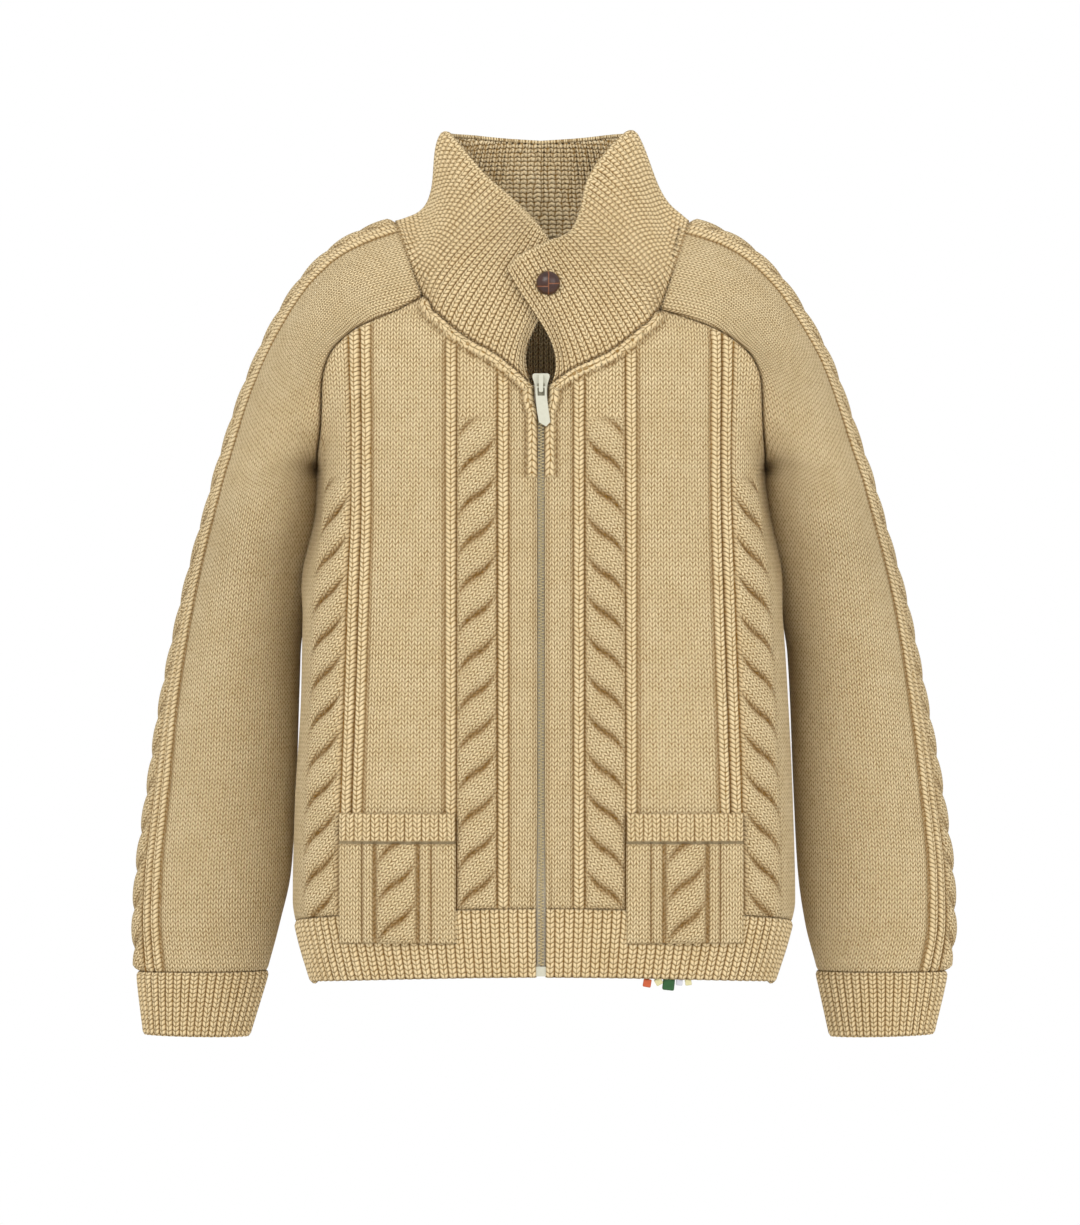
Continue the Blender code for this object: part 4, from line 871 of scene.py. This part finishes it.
def collar_lines(side, where, points, outs, run):
    """Four points of each rib line, base to top, and the cloth's direction at the base."""
    base = np.stack([np.interp(where, run, points[:, i]) for i in range(3)], axis=-1)
    out = unit(np.stack([np.interp(where, run, outs[:, i]) for i in range(3)], axis=-1))
    table, key = COLLAR[side], where * 401 / run[-1]
    lines = [base]
    for level in ("bend", "rise", "top"):
        lines.append(np.stack([SIGN[side] * table.at(level + "_x", key),
                               table.at(level + "_y", key), table.at(level + "_z", key)], axis=-1))
    reach = max(int(9.0 / (where[1] - where[0])), 1)
    padded = np.concatenate([lines[3][:1].repeat(reach, axis=0), lines[3],
                             lines[3][-1:].repeat(reach, axis=0)])
    eased = sum(padded[i:i + len(base)] for i in range(2 * reach + 1)) / (2 * reach + 1)
    inner = smooth_step((where - 30) / 20) * smooth_step((where[-1] - where) / 20)
    lines[3] = lines[3] + (eased - lines[3]) * inner[:, None]
    limit = lines[3][:, 2].max() - 2.5
    lines[3][:, 2] = limit - 1.5 * np.log1p(np.exp((limit - lines[3][:, 2]) / 1.5))
    return np.array(lines), out


def collar_point(lines, height):
    """A point of the collar at a part of its height: one cubic through the four points."""
    at = (0.0, 1 / 3, 2 / 3, 1.0)
    total = 0
    for i, here in enumerate(at):
        weight = 1.0
        for j, other in enumerate(at):
            if j != i:
                weight *= (height - other) / (here - other)
        total = total + weight * lines[i]
    return total


def collar_out(lines, height, reach):
    """Outward direction, from rib lines a little apart and from the heights beside this one."""
    here = collar_point(lines, height)
    padded = np.concatenate([here[:1].repeat(reach, axis=0), here, here[-1:].repeat(reach, axis=0)])
    across = padded[2 * reach:] - padded[:-2 * reach]
    up = collar_point(lines, min(height + 0.02, 1.0)) - collar_point(lines, max(height - 0.02, 0.0))
    out = unit(np.cross(across, up))
    away = here * (1, 1, 0) + np.array([0.0, 10.0, 30.0])
    return out * np.sign((out * away).sum(axis=-1, keepdims=True))


def collar_sheet(edges, caps):
    levels = np.concatenate([np.linspace(0, 0.93, 30), [0.945, 0.96, 0.975, 0.988, 1.0]])
    sides = {}
    for side in ("left", "right"):
        points, outs, run = neck_seam(side, edges, caps[side])
        count = int(round(run[-1] / COLLAR_RIB))
        places = np.linspace(0, 1, count * 6 + 1)
        lines, base_out = collar_lines(side, places * run[-1], points, outs, run)
        relief, groove = rib_relief(places * count, RIB_HEIGHT + 0.7)
        rows, row_out, lengths = [], [], []
        for level in levels:
            out = collar_out(lines, level, 6)
            blend = smooth_step(1 - level / 0.12)
            out = unit(out * (1 - blend) + base_out * blend)
            rolled = smooth_step((level - 0.94) / 0.03)
            settle = (1 - 0.5 * math.exp(-level / 0.03)) * (1 - float(rolled))
            edge = 1.6 * rolled - 2.2 * np.clip((level - 0.97) / 0.03, 0, 1) ** 2
            inset = 2.2 * (1 - blend) + 3.9 * blend
            here = collar_point(lines, level)
            rows.append(here + out * (relief * settle + edge - inset)[:, None])
            row_out.append(out)
            lengths.append(here)
        lengths = np.array(lengths)
        steps = np.linalg.norm(np.diff(lengths, axis=0), axis=2)
        up = np.concatenate([np.zeros((1, steps.shape[1])), np.cumsum(steps, axis=0)])
        wales = np.broadcast_to(SIGN[side] * (places - 1) * count, up.shape)
        knit = np.stack([wales, up / COURSE], axis=-1)
        plain_edge = 1 - smooth_step((levels - 0.94) / 0.03)
        shade = groove[None, :] * plain_edge[:, None]
        shade = np.maximum(shade, 0.5 * np.exp(-(up / 1.2) ** 2))
        sides[side] = (np.array(rows), np.array(row_out), knit, shade)
    grids = [np.concatenate([left, right[:, ::-1][:, 1:]], axis=1)
             for left, right in zip(sides["left"], sides["right"])]
    return sheet_from("knit_collar", *grids, finish="rib_wool")


# ---- pockets -------------------------------------------------------------------------------

def pocket_sheet(side):
    centre = (POCKET_NEAR + POCKET_FAR) / 2
    lean = SIGN[side]
    band = POCKET_TOP - POCKET_BAND
    cable_half = 17.0
    x = [POCKET_NEAR, POCKET_NEAR + 1.2]
    x += list(np.linspace(POCKET_NEAR + 2.4, POCKET_FAR - 2.4, 74)) + [POCKET_FAR - 1.2, POCKET_FAR]
    x = np.array(x)
    z = np.concatenate([[POCKET_TOP, POCKET_TOP - 1.2],
                        np.linspace(POCKET_TOP - 2.6, POCKET_BOTTOM + 2.2, 42),
                        [POCKET_BOTTOM + 1.0, POCKET_BOTTOM]])
    grid_x, grid_z = np.meshgrid(x, z)
    points, outs = [], []
    for height_here in z:
        where = np.full(len(x), height_here)
        points.append(torso(x, where, side, "front"))
        outs.append(torso_out(x, where, side, "front"))
    points, outs = np.array(points), np.array(outs)
    place = grid_x - centre
    began = np.ones(grid_x.shape)
    height, groove = cable_relief(grid_x, centre, cable_half, grid_z - band, lean, began)
    height, groove = with_ropes(height * 0.85, groove, place, (-24, 24), grid_z)
    for edge in (-cable_half, cable_half):
        height, groove = with_cable_edge(height, groove, place - edge)
    rib_place = (grid_x - POCKET_NEAR) / (POCKET_FAR - POCKET_NEAR) * 14
    ribs, rib_groove = rib_relief(rib_place, RIB_HEIGHT)
    in_band = smooth_step((grid_z - band) / 3)
    height = height * (1 - in_band) + ribs * in_band
    groove = np.maximum(groove * (1 - in_band), rib_groove * in_band)
    # painted shade along the lower edge of the rib band
    groove = np.maximum(groove, 0.6 * np.exp(-((grid_z - band - 0.5) / 1.0) ** 2))
    rim = np.minimum(np.minimum(grid_x - POCKET_NEAR, POCKET_FAR - grid_x),
                     np.minimum(grid_z - POCKET_BOTTOM, POCKET_TOP - grid_z))
    height = height * smooth_step(rim / 4) + seam_roll(rim, 2.6, 1.6)
    lift = POCKET_WALL + POCKET_LIFT - OUTLINE_INSET
    faces = points + outs * (height + lift)[..., None]
    wales = np.where(in_band > 0.5, rib_place, place / WALE + 0.5)
    knit = np.stack([SIGN[side] * wales, grid_z / COURSE], axis=-1)
    strands = strand_map(place, grid_z, lean)
    strands[..., 0] *= SIGN[side]
    inside = (np.abs(place) < cable_half - 0.6) & (grid_z < band)
    return sheet_from("knit_pocket_" + side, faces, outs, knit, groove, (inside, strands),
                      thickness=POCKET_WALL)


# ---- finishes ------------------------------------------------------------------------------

YARN_LOW, YARN_HIGH = "D1B88A", "E6D1A7"     # the yarn's own uneven tone
STITCH_GAP_SHADE = "8A6424"                          # painted shade between the stitches
GROOVE_SHADE = "825C20"                       # painted shade in grooves: beside ribs, in the creases of the cables and along seams


def linear(hex_colour):
    """A colour written as the eye sees it, turned into the light that the renderer mixes."""
    parts = [int(hex_colour[i:i + 2], 16) / 255 for i in (0, 2, 4)]
    return [p / 12.92 if p <= 0.04045 else ((p + 0.055) / 1.055) ** 2.4 for p in parts] + [1.0]


def new_finish(name):
    material = bpy.data.materials.new(name)
    material.use_nodes = True
    tree = material.node_tree
    return material, tree, tree.nodes["Principled BSDF"]


def add_node(tree, kind, settings=(), **links):
    """Adds a node, sets its properties, and fills its inputs with values or other nodes' outputs."""
    node = tree.nodes.new(kind)
    for key, value in dict(settings).items():
        setattr(node, key, value)
    for key, value in links.items():
        socket = node.inputs[int(key[1:])] if key[1:].isdigit() else node.inputs[key]
        if hasattr(value, "is_output"):
            tree.links.new(value, socket)
        else:
            socket.default_value = value
    return node


def maths(tree, operation, first, second=0.0, third=0.0):
    return add_node(tree, "ShaderNodeMath", {"operation": operation},
                    _0=first, _1=second, _2=third).outputs[0]


def noise(tree, here, scale, detail=3.0):
    return add_node(tree, "ShaderNodeTexNoise", (), Vector=here, Scale=scale, Detail=detail).outputs[0]


def ramp(tree, value, low, high):
    """0 up to low, rising to 1 at high."""
    return add_node(tree, "ShaderNodeMapRange", {"clamp": True}, _0=value, _1=low, _2=high,
                    _3=0.0, _4=1.0).outputs[0]


def blend(tree, share, low, high):
    """A mix of two colours, each a hex colour or another node's output."""
    low, high = (linear(c) if isinstance(c, str) else c for c in (low, high))
    return add_node(tree, "ShaderNodeMix", {"data_type": "RGBA"}, _0=share, _6=low, _7=high).outputs[2]


def dress(tree, shader, colour, raised, strength, distance):
    """Gives a finish its colour and its fine relief."""
    bump = add_node(tree, "ShaderNodeBump", (), Strength=strength, Distance=distance, Height=raised)
    tree.links.new(colour, shader.inputs["Base Color"])
    tree.links.new(bump.outputs[0], shader.inputs["Normal"])


def wool_finish(name, tall, inside=False):
    """Chunky wool yarn in rows of V-shaped knit stitches, a little fuzzy and uneven in tone.

    tall: how far the two legs of a stitch slant, in courses. The inside of the cloth has its
    ridges where the outside has its furrows. Shade is painted into the colour: darker between
    the stitches, and darker in grooves, creases and seams, which the groove attribute marks on
    the outside and the edges of the columns mark on the inside. The inside's yarn is painted
    lighter than the same yarn outside, as painted light.
    """
    material, tree, shader = new_finish(name)

    def calc(operation, *values):
        return maths(tree, operation, *values)

    def hump(value, power):
        """From 0 at each end of a whole number up to 1 between them."""
        middle = calc("ABSOLUTE", calc("MULTIPLY_ADD", value, 2.0, -1.0))
        return calc("SUBTRACT", 1.0, calc("POWER", middle, power))

    knit = add_node(tree, "ShaderNodeUVMap", {"uv_map": "knit"}).outputs[0]
    place = add_node(tree, "ShaderNodeSeparateXYZ", (), _0=knit).outputs
    here = add_node(tree, "ShaderNodeTexCoord").outputs["Object"]
    drift = noise(tree, here, 130.0, 1.0)
    side_wander = calc("MULTIPLY_ADD", drift, -0.24, 0.12)
    counted = calc("ADD", place[0], 0.5 if inside else 0.0)
    wale = calc("FRACT", calc("ADD", counted, side_wander))
    leg = calc("ABSOLUTE", calc("MULTIPLY_ADD", wale, 2.0, -1.0))
    course = calc("ADD", place[1], calc("MULTIPLY_ADD", drift, 0.5, -0.25))
    loop = calc("FRACT", calc("ADD", course, calc("MULTIPLY", leg, -tall)))
    stitch = calc("MULTIPLY", calc("POWER", hump(leg, 2.4), 0.55), calc("POWER", hump(loop, 2.2), 0.7))
    fibre, tone, patch = noise(tree, here, 900.0), noise(tree, here, 45.0), noise(tree, here, 210.0, 2.0)
    if inside:
        # On the inside: painted shade at the edges of its columns, and a yarn colour painted lighter
        # than the same yarn outside, as painted light
        groove = ramp(tree, leg, 0.5, 0.95)
        yarn = blend(tree, tone, "E2CB9E", "F6E3BC")
    else:
        groove = add_node(tree, "ShaderNodeAttribute", {"attribute_name": "groove"}).outputs["Fac"]
        yarn = blend(tree, tone, YARN_LOW, YARN_HIGH)
    uneven = calc("ADD", calc("MULTIPLY_ADD", patch, 0.5, -0.25),
                  calc("MULTIPLY_ADD", fibre, 0.5, -0.25))
    # painted shade between the stitches: the colour falls towards STITCH_GAP_SHADE where the stitch is
    # low
    colour = blend(tree, ramp(tree, calc("ADD", stitch, uneven), 0.06, 0.68), STITCH_GAP_SHADE, yarn)
    # painted shade where groove marks grooves, creases and seams, a little patchy
    dark = calc("MULTIPLY", calc("MULTIPLY", groove, 0.85), calc("MULTIPLY_ADD", patch, 1.2, 0.4))
    colour = blend(tree, calc("MINIMUM", dark, 1.0), colour, GROOVE_SHADE)
    dress(tree, shader, colour, calc("ADD", stitch, calc("MULTIPLY", fibre, 0.3)), 1.0, 0.0016)
    shader.inputs["Roughness"].default_value = 0.95
    shader.inputs["Specular IOR Level"].default_value = 0.1
    shader.inputs["Sheen Weight"].default_value = 0.15
    shader.inputs["Sheen Roughness"].default_value = 0.6
    shader.inputs["Sheen Tint"].default_value = linear("F0E2C4")
    return material


def tape_finish():
    """Woven polyester zip tape: a fine rib along its length."""
    material, tree, shader = new_finish("zip tape, woven polyester")
    here = add_node(tree, "ShaderNodeTexCoord").outputs["Object"]
    rib = add_node(tree, "ShaderNodeTexWave", {"bands_direction": "Z"}, Vector=here, Scale=260.0,
                   Distortion=0.4).outputs["Fac"]
    dress(tree, shader, blend(tree, rib, "B9AE97", "D8CFBA"), rib, 0.5, 0.0002)
    shader.inputs["Roughness"].default_value = 0.85
    return material


def zip_finish(name, low, high, roughness):
    """Painted or moulded zip hardware, faintly uneven."""
    material, tree, shader = new_finish(name)
    cloud = noise(tree, add_node(tree, "ShaderNodeTexCoord").outputs["Object"], 400.0)
    dress(tree, shader, blend(tree, cloud, low, high), cloud, 0.3, 0.0001)
    tree.links.new(maths(tree, "MULTIPLY_ADD", cloud, 0.15, roughness), shader.inputs["Roughness"])
    return material


def leather_finish():
    """Polished dark leather strips woven over a dome, their cut edges a lighter tan."""
    material, tree, shader = new_finish("button leather, woven strips")

    def calc(operation, *values):
        return maths(tree, operation, *values)

    here = add_node(tree, "ShaderNodeTexCoord").outputs["Object"]
    flat = add_node(tree, "ShaderNodeUVMap", {"uv_map": "cap"}).outputs[0]
    place = add_node(tree, "ShaderNodeSeparateXYZ", (), _0=flat).outputs
    grain = add_node(tree, "ShaderNodeTexVoronoi", (), Vector=here, Scale=1400.0).outputs["Distance"]
    cloud = noise(tree, here, 180.0)
    upright = calc("ADD", place[0], calc("MULTIPLY_ADD", cloud, 1.2, -0.9))
    left = calc("LESS_THAN", place[0], 0.0)
    across = calc("ADD", place[1], calc("MULTIPLY_ADD", left, 2.4, 0.2))
    nearest = calc("MINIMUM", calc("ABSOLUTE", upright), calc("ABSOLUTE", across))
    body = ramp(tree, nearest, 0.28, 0.62)
    colour = blend(tree, body, "7A4524", blend(tree, cloud, "1E0C07", "44200F"))
    dress(tree, shader, colour, calc("ADD", body, calc("MULTIPLY", grain, 0.15)), 0.7, 0.0004)
    shader.inputs["Roughness"].default_value = 0.3
    return material


FINISHES = {
    "wool": wool_finish("sand wool, knitted", 0.8),
    "rib_wool": wool_finish("sand wool, ribbed", 0.55),
    "inside": wool_finish("sand wool, inside of the cloth, painted light and shade", 0.8, inside=True),
    "tape": tape_finish(),
    "teeth": zip_finish("zip teeth, moulded", "9A8960", "C2B084", 0.5),
    "slider": zip_finish("zip slider, pale enamel", "B3B19F", "C2C0AE", 0.4),
    "slot": zip_finish("zip slider slot, painted shade", "6E6A58", "8A8570", 0.6),
    "leather": leather_finish(),
    "bead_orange": zip_finish("bead, orange plastic", "A6421A", "BA5426", 0.3),
    "bead_cream": zip_finish("bead, cream plastic", "BDB683", "CEC79C", 0.3),
    "bead_green": zip_finish("bead, green plastic", "0B4014", "15531D", 0.3),
    "bead_white": zip_finish("bead, white plastic", "B0B0B8", "C4C4CC", 0.3),
}


# ---- zip, button and beads -----------------------------------------------------------------

def hard_piece(name, bm, finish, body="garment"):
    """Finish a bmesh in millimetres as a hard piece."""
    bmesh.ops.recalc_face_normals(bm, faces=bm.faces)
    bmesh.ops.scale(bm, verts=bm.verts, vec=(MM, MM, MM))
    made = new_piece(name, bm, FINISHES[finish])
    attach(made, body)
    return made


def zip_teeth():
    """Two rows of moulded teeth that mesh down the middle of the zip."""
    bm = bmesh.new()
    z, row = -151.5, 0
    while z > -630:
        depth = -float(TORSO.at("depth_front", z)) + 4.9
        side = 1 if row % 2 else -1
        tooth = bmesh.ops.create_cube(bm, size=1)["verts"]
        bmesh.ops.scale(bm, verts=tooth, vec=(3.0, 1.5, 1.1))
        for vert in tooth:
            if vert.co.x * side < 0:
                vert.co.y *= 0.7
                vert.co.z *= 0.7
        bmesh.ops.translate(bm, verts=tooth, vec=(side * 0.85, depth, z))
        z -= 1.45
        row += 1
    return hard_piece("zip_teeth", bm, "teeth")


def plate(bm, loops, front, back, soft):
    """A flat plate with softened edges. loops: its outline, then any window, as (x, z) points."""
    edges = []
    for loop in loops:
        verts = [bm.verts.new((x, back, z)) for x, z in loop]
        edges += [bm.edges.new((verts[i - 1], verts[i])) for i in range(len(verts))]
    filled = bmesh.ops.triangle_fill(bm, use_beauty=True, use_dissolve=True, edges=edges)
    faces = [f for f in filled["geom"] if isinstance(f, bmesh.types.BMFace)]
    raised = bmesh.ops.extrude_face_region(bm, geom=faces, use_keep_orig=True)["geom"]
    top = [v for v in raised if isinstance(v, bmesh.types.BMVert)]
    bmesh.ops.translate(bm, verts=top, vec=(0, front - back, 0))
    # dict.fromkeys drops repeats and keeps the order, which a set would not
    kept = dict.fromkeys([v for f in faces for v in f.verts] + top)
    around = dict.fromkeys(f for v in kept for f in v.link_faces)
    bmesh.ops.recalc_face_normals(bm, faces=list(around))
    sharp = dict.fromkeys(e for v in top for e in v.link_edges
                          if len(e.link_faces) == 2 and e.calc_face_angle(0) > 0.9)
    bmesh.ops.bevel(bm, geom=list(sharp), offset=soft, offset_type="OFFSET", affect="EDGES",
                    segments=3, profile=0.5, material=-1)


def zip_slider():
    """Slider body with a flared shield and the raised bridge that holds the pull."""
    bm = bmesh.new()
    outline = [(-5.6, SLIDER_TOP), (5.6, SLIDER_TOP), (7.0, SLIDER_TOP - 0.9), (7.3, SLIDER_TOP - 3.0),
               (6.4, SLIDER_TOP - 6.0), (5.2, SLIDER_TOP - 10.0), (4.9, SLIDER_END),
               (-4.9, SLIDER_END), (-5.2, SLIDER_TOP - 10.0), (-6.4, SLIDER_TOP - 6.0),
               (-7.3, SLIDER_TOP - 3.0), (-7.0, SLIDER_TOP - 0.9)]
    plate(bm, [outline], SLIDER_FACE_Y, SLIDER_FACE_Y + 2.4, 0.6)
    lower = [(x * 0.8, z) for x, z in outline]
    plate(bm, [lower], SLIDER_FACE_Y + 2.6, SLIDER_BACK_Y, 0.3)
    bridge = [(-1.7, SLIDER_TOP - 0.8), (1.7, SLIDER_TOP - 0.8), (1.9, SLIDER_TOP - 3.0),
              (1.8, SLIDER_TOP - 15.0), (1.0, SLIDER_TOP - 15.8), (-1.0, SLIDER_TOP - 15.8),
              (-1.8, SLIDER_TOP - 15.0), (-1.9, SLIDER_TOP - 3.0)]
    plate(bm, [bridge], PULL_AXIS_Y - 2.7, PULL_AXIS_Y - 1.4, 0.35)
    for top, end in ((SLIDER_TOP - 1.4, SLIDER_TOP - 9.0), (SLIDER_TOP - 14.0, SLIDER_TOP - 15.2)):
        post = [(-1.3, top), (1.3, top), (1.3, end), (-1.3, end)]
        plate(bm, [post], PULL_AXIS_Y - 1.6, SLIDER_FACE_Y + 0.4, 0.1)
    return hard_piece("slider_body", bm, "slider")


def slider_slot_shade():
    """A darker plate on the slider's face behind the pull's window: painted shade for the hollow there.
    """
    bm = bmesh.new()
    hollow = [(-3.2, PULL_AXIS_Z + 3.0), (3.2, PULL_AXIS_Z + 3.0), (3.2, PULL_AXIS_Z - 7.6),
              (-3.2, PULL_AXIS_Z - 7.6)]
    plate(bm, [hollow], SLIDER_FACE_Y - 0.35, SLIDER_FACE_Y + 0.3, 0.1)
    return hard_piece("slider_slot_shade", bm, "slot")


def zip_pull():
    """Flat pull tab with a window over the bridge and a cut-off point, leaning a little."""
    bm = bmesh.new()
    reach = PULL_AXIS_Z - PULL_LENGTH
    outline = [(-4.4, PULL_AXIS_Z + 0.65), (4.4, PULL_AXIS_Z + 0.65), (4.7, PULL_AXIS_Z - 8),
               (4.9, PULL_AXIS_Z - 20), (4.9, reach + 3.6), (0.8, reach), (-4.6, reach + 3.4),
               (-4.9, PULL_AXIS_Z - 20), (-4.7, PULL_AXIS_Z - 8)]
    window = [(-2.9, PULL_AXIS_Z - 0.65), (2.9, PULL_AXIS_Z - 0.65), (2.9, PULL_AXIS_Z - 7.2),
              (-2.9, PULL_AXIS_Z - 7.2)]
    plate(bm, [outline, window], PULL_AXIS_Y - 0.65, PULL_AXIS_Y + 0.65, 0.3)
    for vert in bm.verts:
        below = max(PULL_AXIS_Z - 4 - vert.co.z, 0) / PULL_LENGTH
        vert.co.x += 4.2 * below ** 1.4
    return hard_piece("pull_tab", bm, "slider", "pull")


def button_ball():
    """Leather ball button: a crowned dome with a turned-in edge."""
    bm = bmesh.new()
    layer = bm.loops.layers.uv.new("cap")
    outline = [(0, 7.0), (1.8, 6.95), (3.6, 6.6), (5.4, 5.95), (7.0, 5.0), (8.4, 3.75), (9.3, 2.6),
               (9.9, 1.5), (10.0, 0.6), (9.7, -0.2), (9.0, -0.8), (7.5, -1.0), (0, -1.0)]
    verts = [bm.verts.new((r, 0, h)) for r, h in outline]
    edges = [bm.edges.new(pair) for pair in zip(verts, verts[1:])]
    bmesh.ops.spin(bm, geom=verts + edges, cent=(0, 0, 0), axis=(0, 0, 1), dvec=(0, 0, 0),
                   angle=2 * math.pi, steps=48, use_merge=True, use_duplicate=False)
    bmesh.ops.remove_doubles(bm, verts=bm.verts, dist=0.001)
    bmesh.ops.recalc_face_normals(bm, faces=bm.faces)
    for face in bm.faces:
        face.smooth = True
        for loop in face.loops:
            loop[layer].uv = (loop.vert.co.x, loop.vert.co.y)
    turn = Matrix.Rotation(math.pi / 2 + BUTTON_TILT, 4, "X")
    bmesh.ops.transform(bm, matrix=Matrix.Translation(BUTTON_AT) @ turn, verts=bm.verts)
    return hard_piece("button_ball", bm, "leather")


def hem_beads():
    """Small plain beads sewn inside the hem, just showing under it."""
    beads = (("orange", 89.0, -644.3, 3.4, 10), ("cream", 98.5, -643.0, 3.0, -30),
             ("green", 107.0, -645.4, 5.0, 6), ("white", 116.0, -643.6, 2.7, 4),
             ("cream", 123.5, -643.6, 2.7, -8))
    for number, (colour, x, z, half, turn) in enumerate(beads):
        bm = bmesh.new()
        bmesh.ops.create_cube(bm, size=2 * half)
        bmesh.ops.bevel(bm, geom=list(bm.edges), offset=half * 0.28, offset_type="OFFSET",
                        affect="EDGES", segments=3, profile=0.5, material=-1)
        wall = torso(np.array([x]), np.array([z + 8.0]), "right", "front")[0]
        lift = Matrix.Translation((x, wall[1] + 5.0 + half, z))
        turned = Matrix.Rotation(math.radians(turn), 4, "Y")
        bmesh.ops.transform(bm, matrix=lift @ turned, verts=bm.verts)
        hard_piece(f"bead_{number + 1}_{colour}", bm, "bead_" + colour)


# ---- build ---------------------------------------------------------------------------------

knits, edges = fronts_and_back()
caps = {}
for side in SIGN:
    knits["knit_sleeve_" + side], caps[side] = sleeve_sheet(side)
    knits["knit_cuff_" + side] = cuff_sheet(side)
    knits["knit_pocket_" + side] = pocket_sheet(side)
knits.update(hem_sheets())
knits["knit_collar"] = collar_sheet(edges, caps)
for name, piece in knits.items():
    node = name.replace("knit_", "")
    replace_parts(piece, node)
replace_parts(zip_teeth(), "zip_chain")
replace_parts(zip_slider(), "zip_slider")
slider_slot_shade()
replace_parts(zip_pull(), "zip_pull")
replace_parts(button_ball(), "button")
hem_beads()

# The solids that are shown as they are
for name, finish in (("zip_tape_left", "tape"), ("zip_tape_right", "tape"), ("zip_box", "slider")):
    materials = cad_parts[name].data.materials
    materials.clear()
    materials.append(FINISHES[finish])


# ---- stage, light and camera ----------------------------------------------------------------

def light(name, place, size, power):
    data = bpy.data.lights.new(name, "AREA")
    data.size = size
    data.energy = power
    lamp = bpy.data.objects.new(name, data)
    lamp.location = place
    lamp.rotation_euler = (GARMENT_MIDDLE - Vector(place)).to_track_quat("-Z", "Y").to_euler()
    bpy.context.scene.collection.objects.link(lamp)


GARMENT_MIDDLE = Vector((0, 0, -0.3))
light("key", (-1.2, -2.6, 1.3), 1.6, 40)
light("fill", (1.8, -2.4, 0.4), 2.2, 26)

bm = bmesh.new()
bmesh.ops.create_circle(bm, cap_ends=True, segments=96, radius=1.0)
bmesh.ops.translate(bm, verts=bm.verts, vec=(0, 0, -0.95))
paper, _, paper_shader = new_finish("floor, matt paper")
paper_shader.inputs["Base Color"].default_value = linear("F2F1EF")
paper_shader.inputs["Roughness"].default_value = 0.9
new_piece("floor", bm, paper)

world = bpy.data.worlds.new("studio")
world.use_nodes = True
sky = world.node_tree.nodes["Background"]
sky.inputs["Color"].default_value = (1, 1, 1, 1)
sky.inputs["Strength"].default_value = 1.0
bpy.context.scene.world = world
bpy.context.scene.view_settings.view_transform = "Standard"

camera_data = bpy.data.cameras.new("camera")
camera_data.lens = 242
camera_data.sensor_width = 36
camera_data.clip_end = 60
camera = bpy.data.objects.new("camera", camera_data)
camera.location = (-0.00085, -7.0, -0.3336)
camera.rotation_euler = (math.pi / 2, 0, 0)
bpy.context.scene.collection.objects.link(camera)
bpy.context.scene.camera = camera
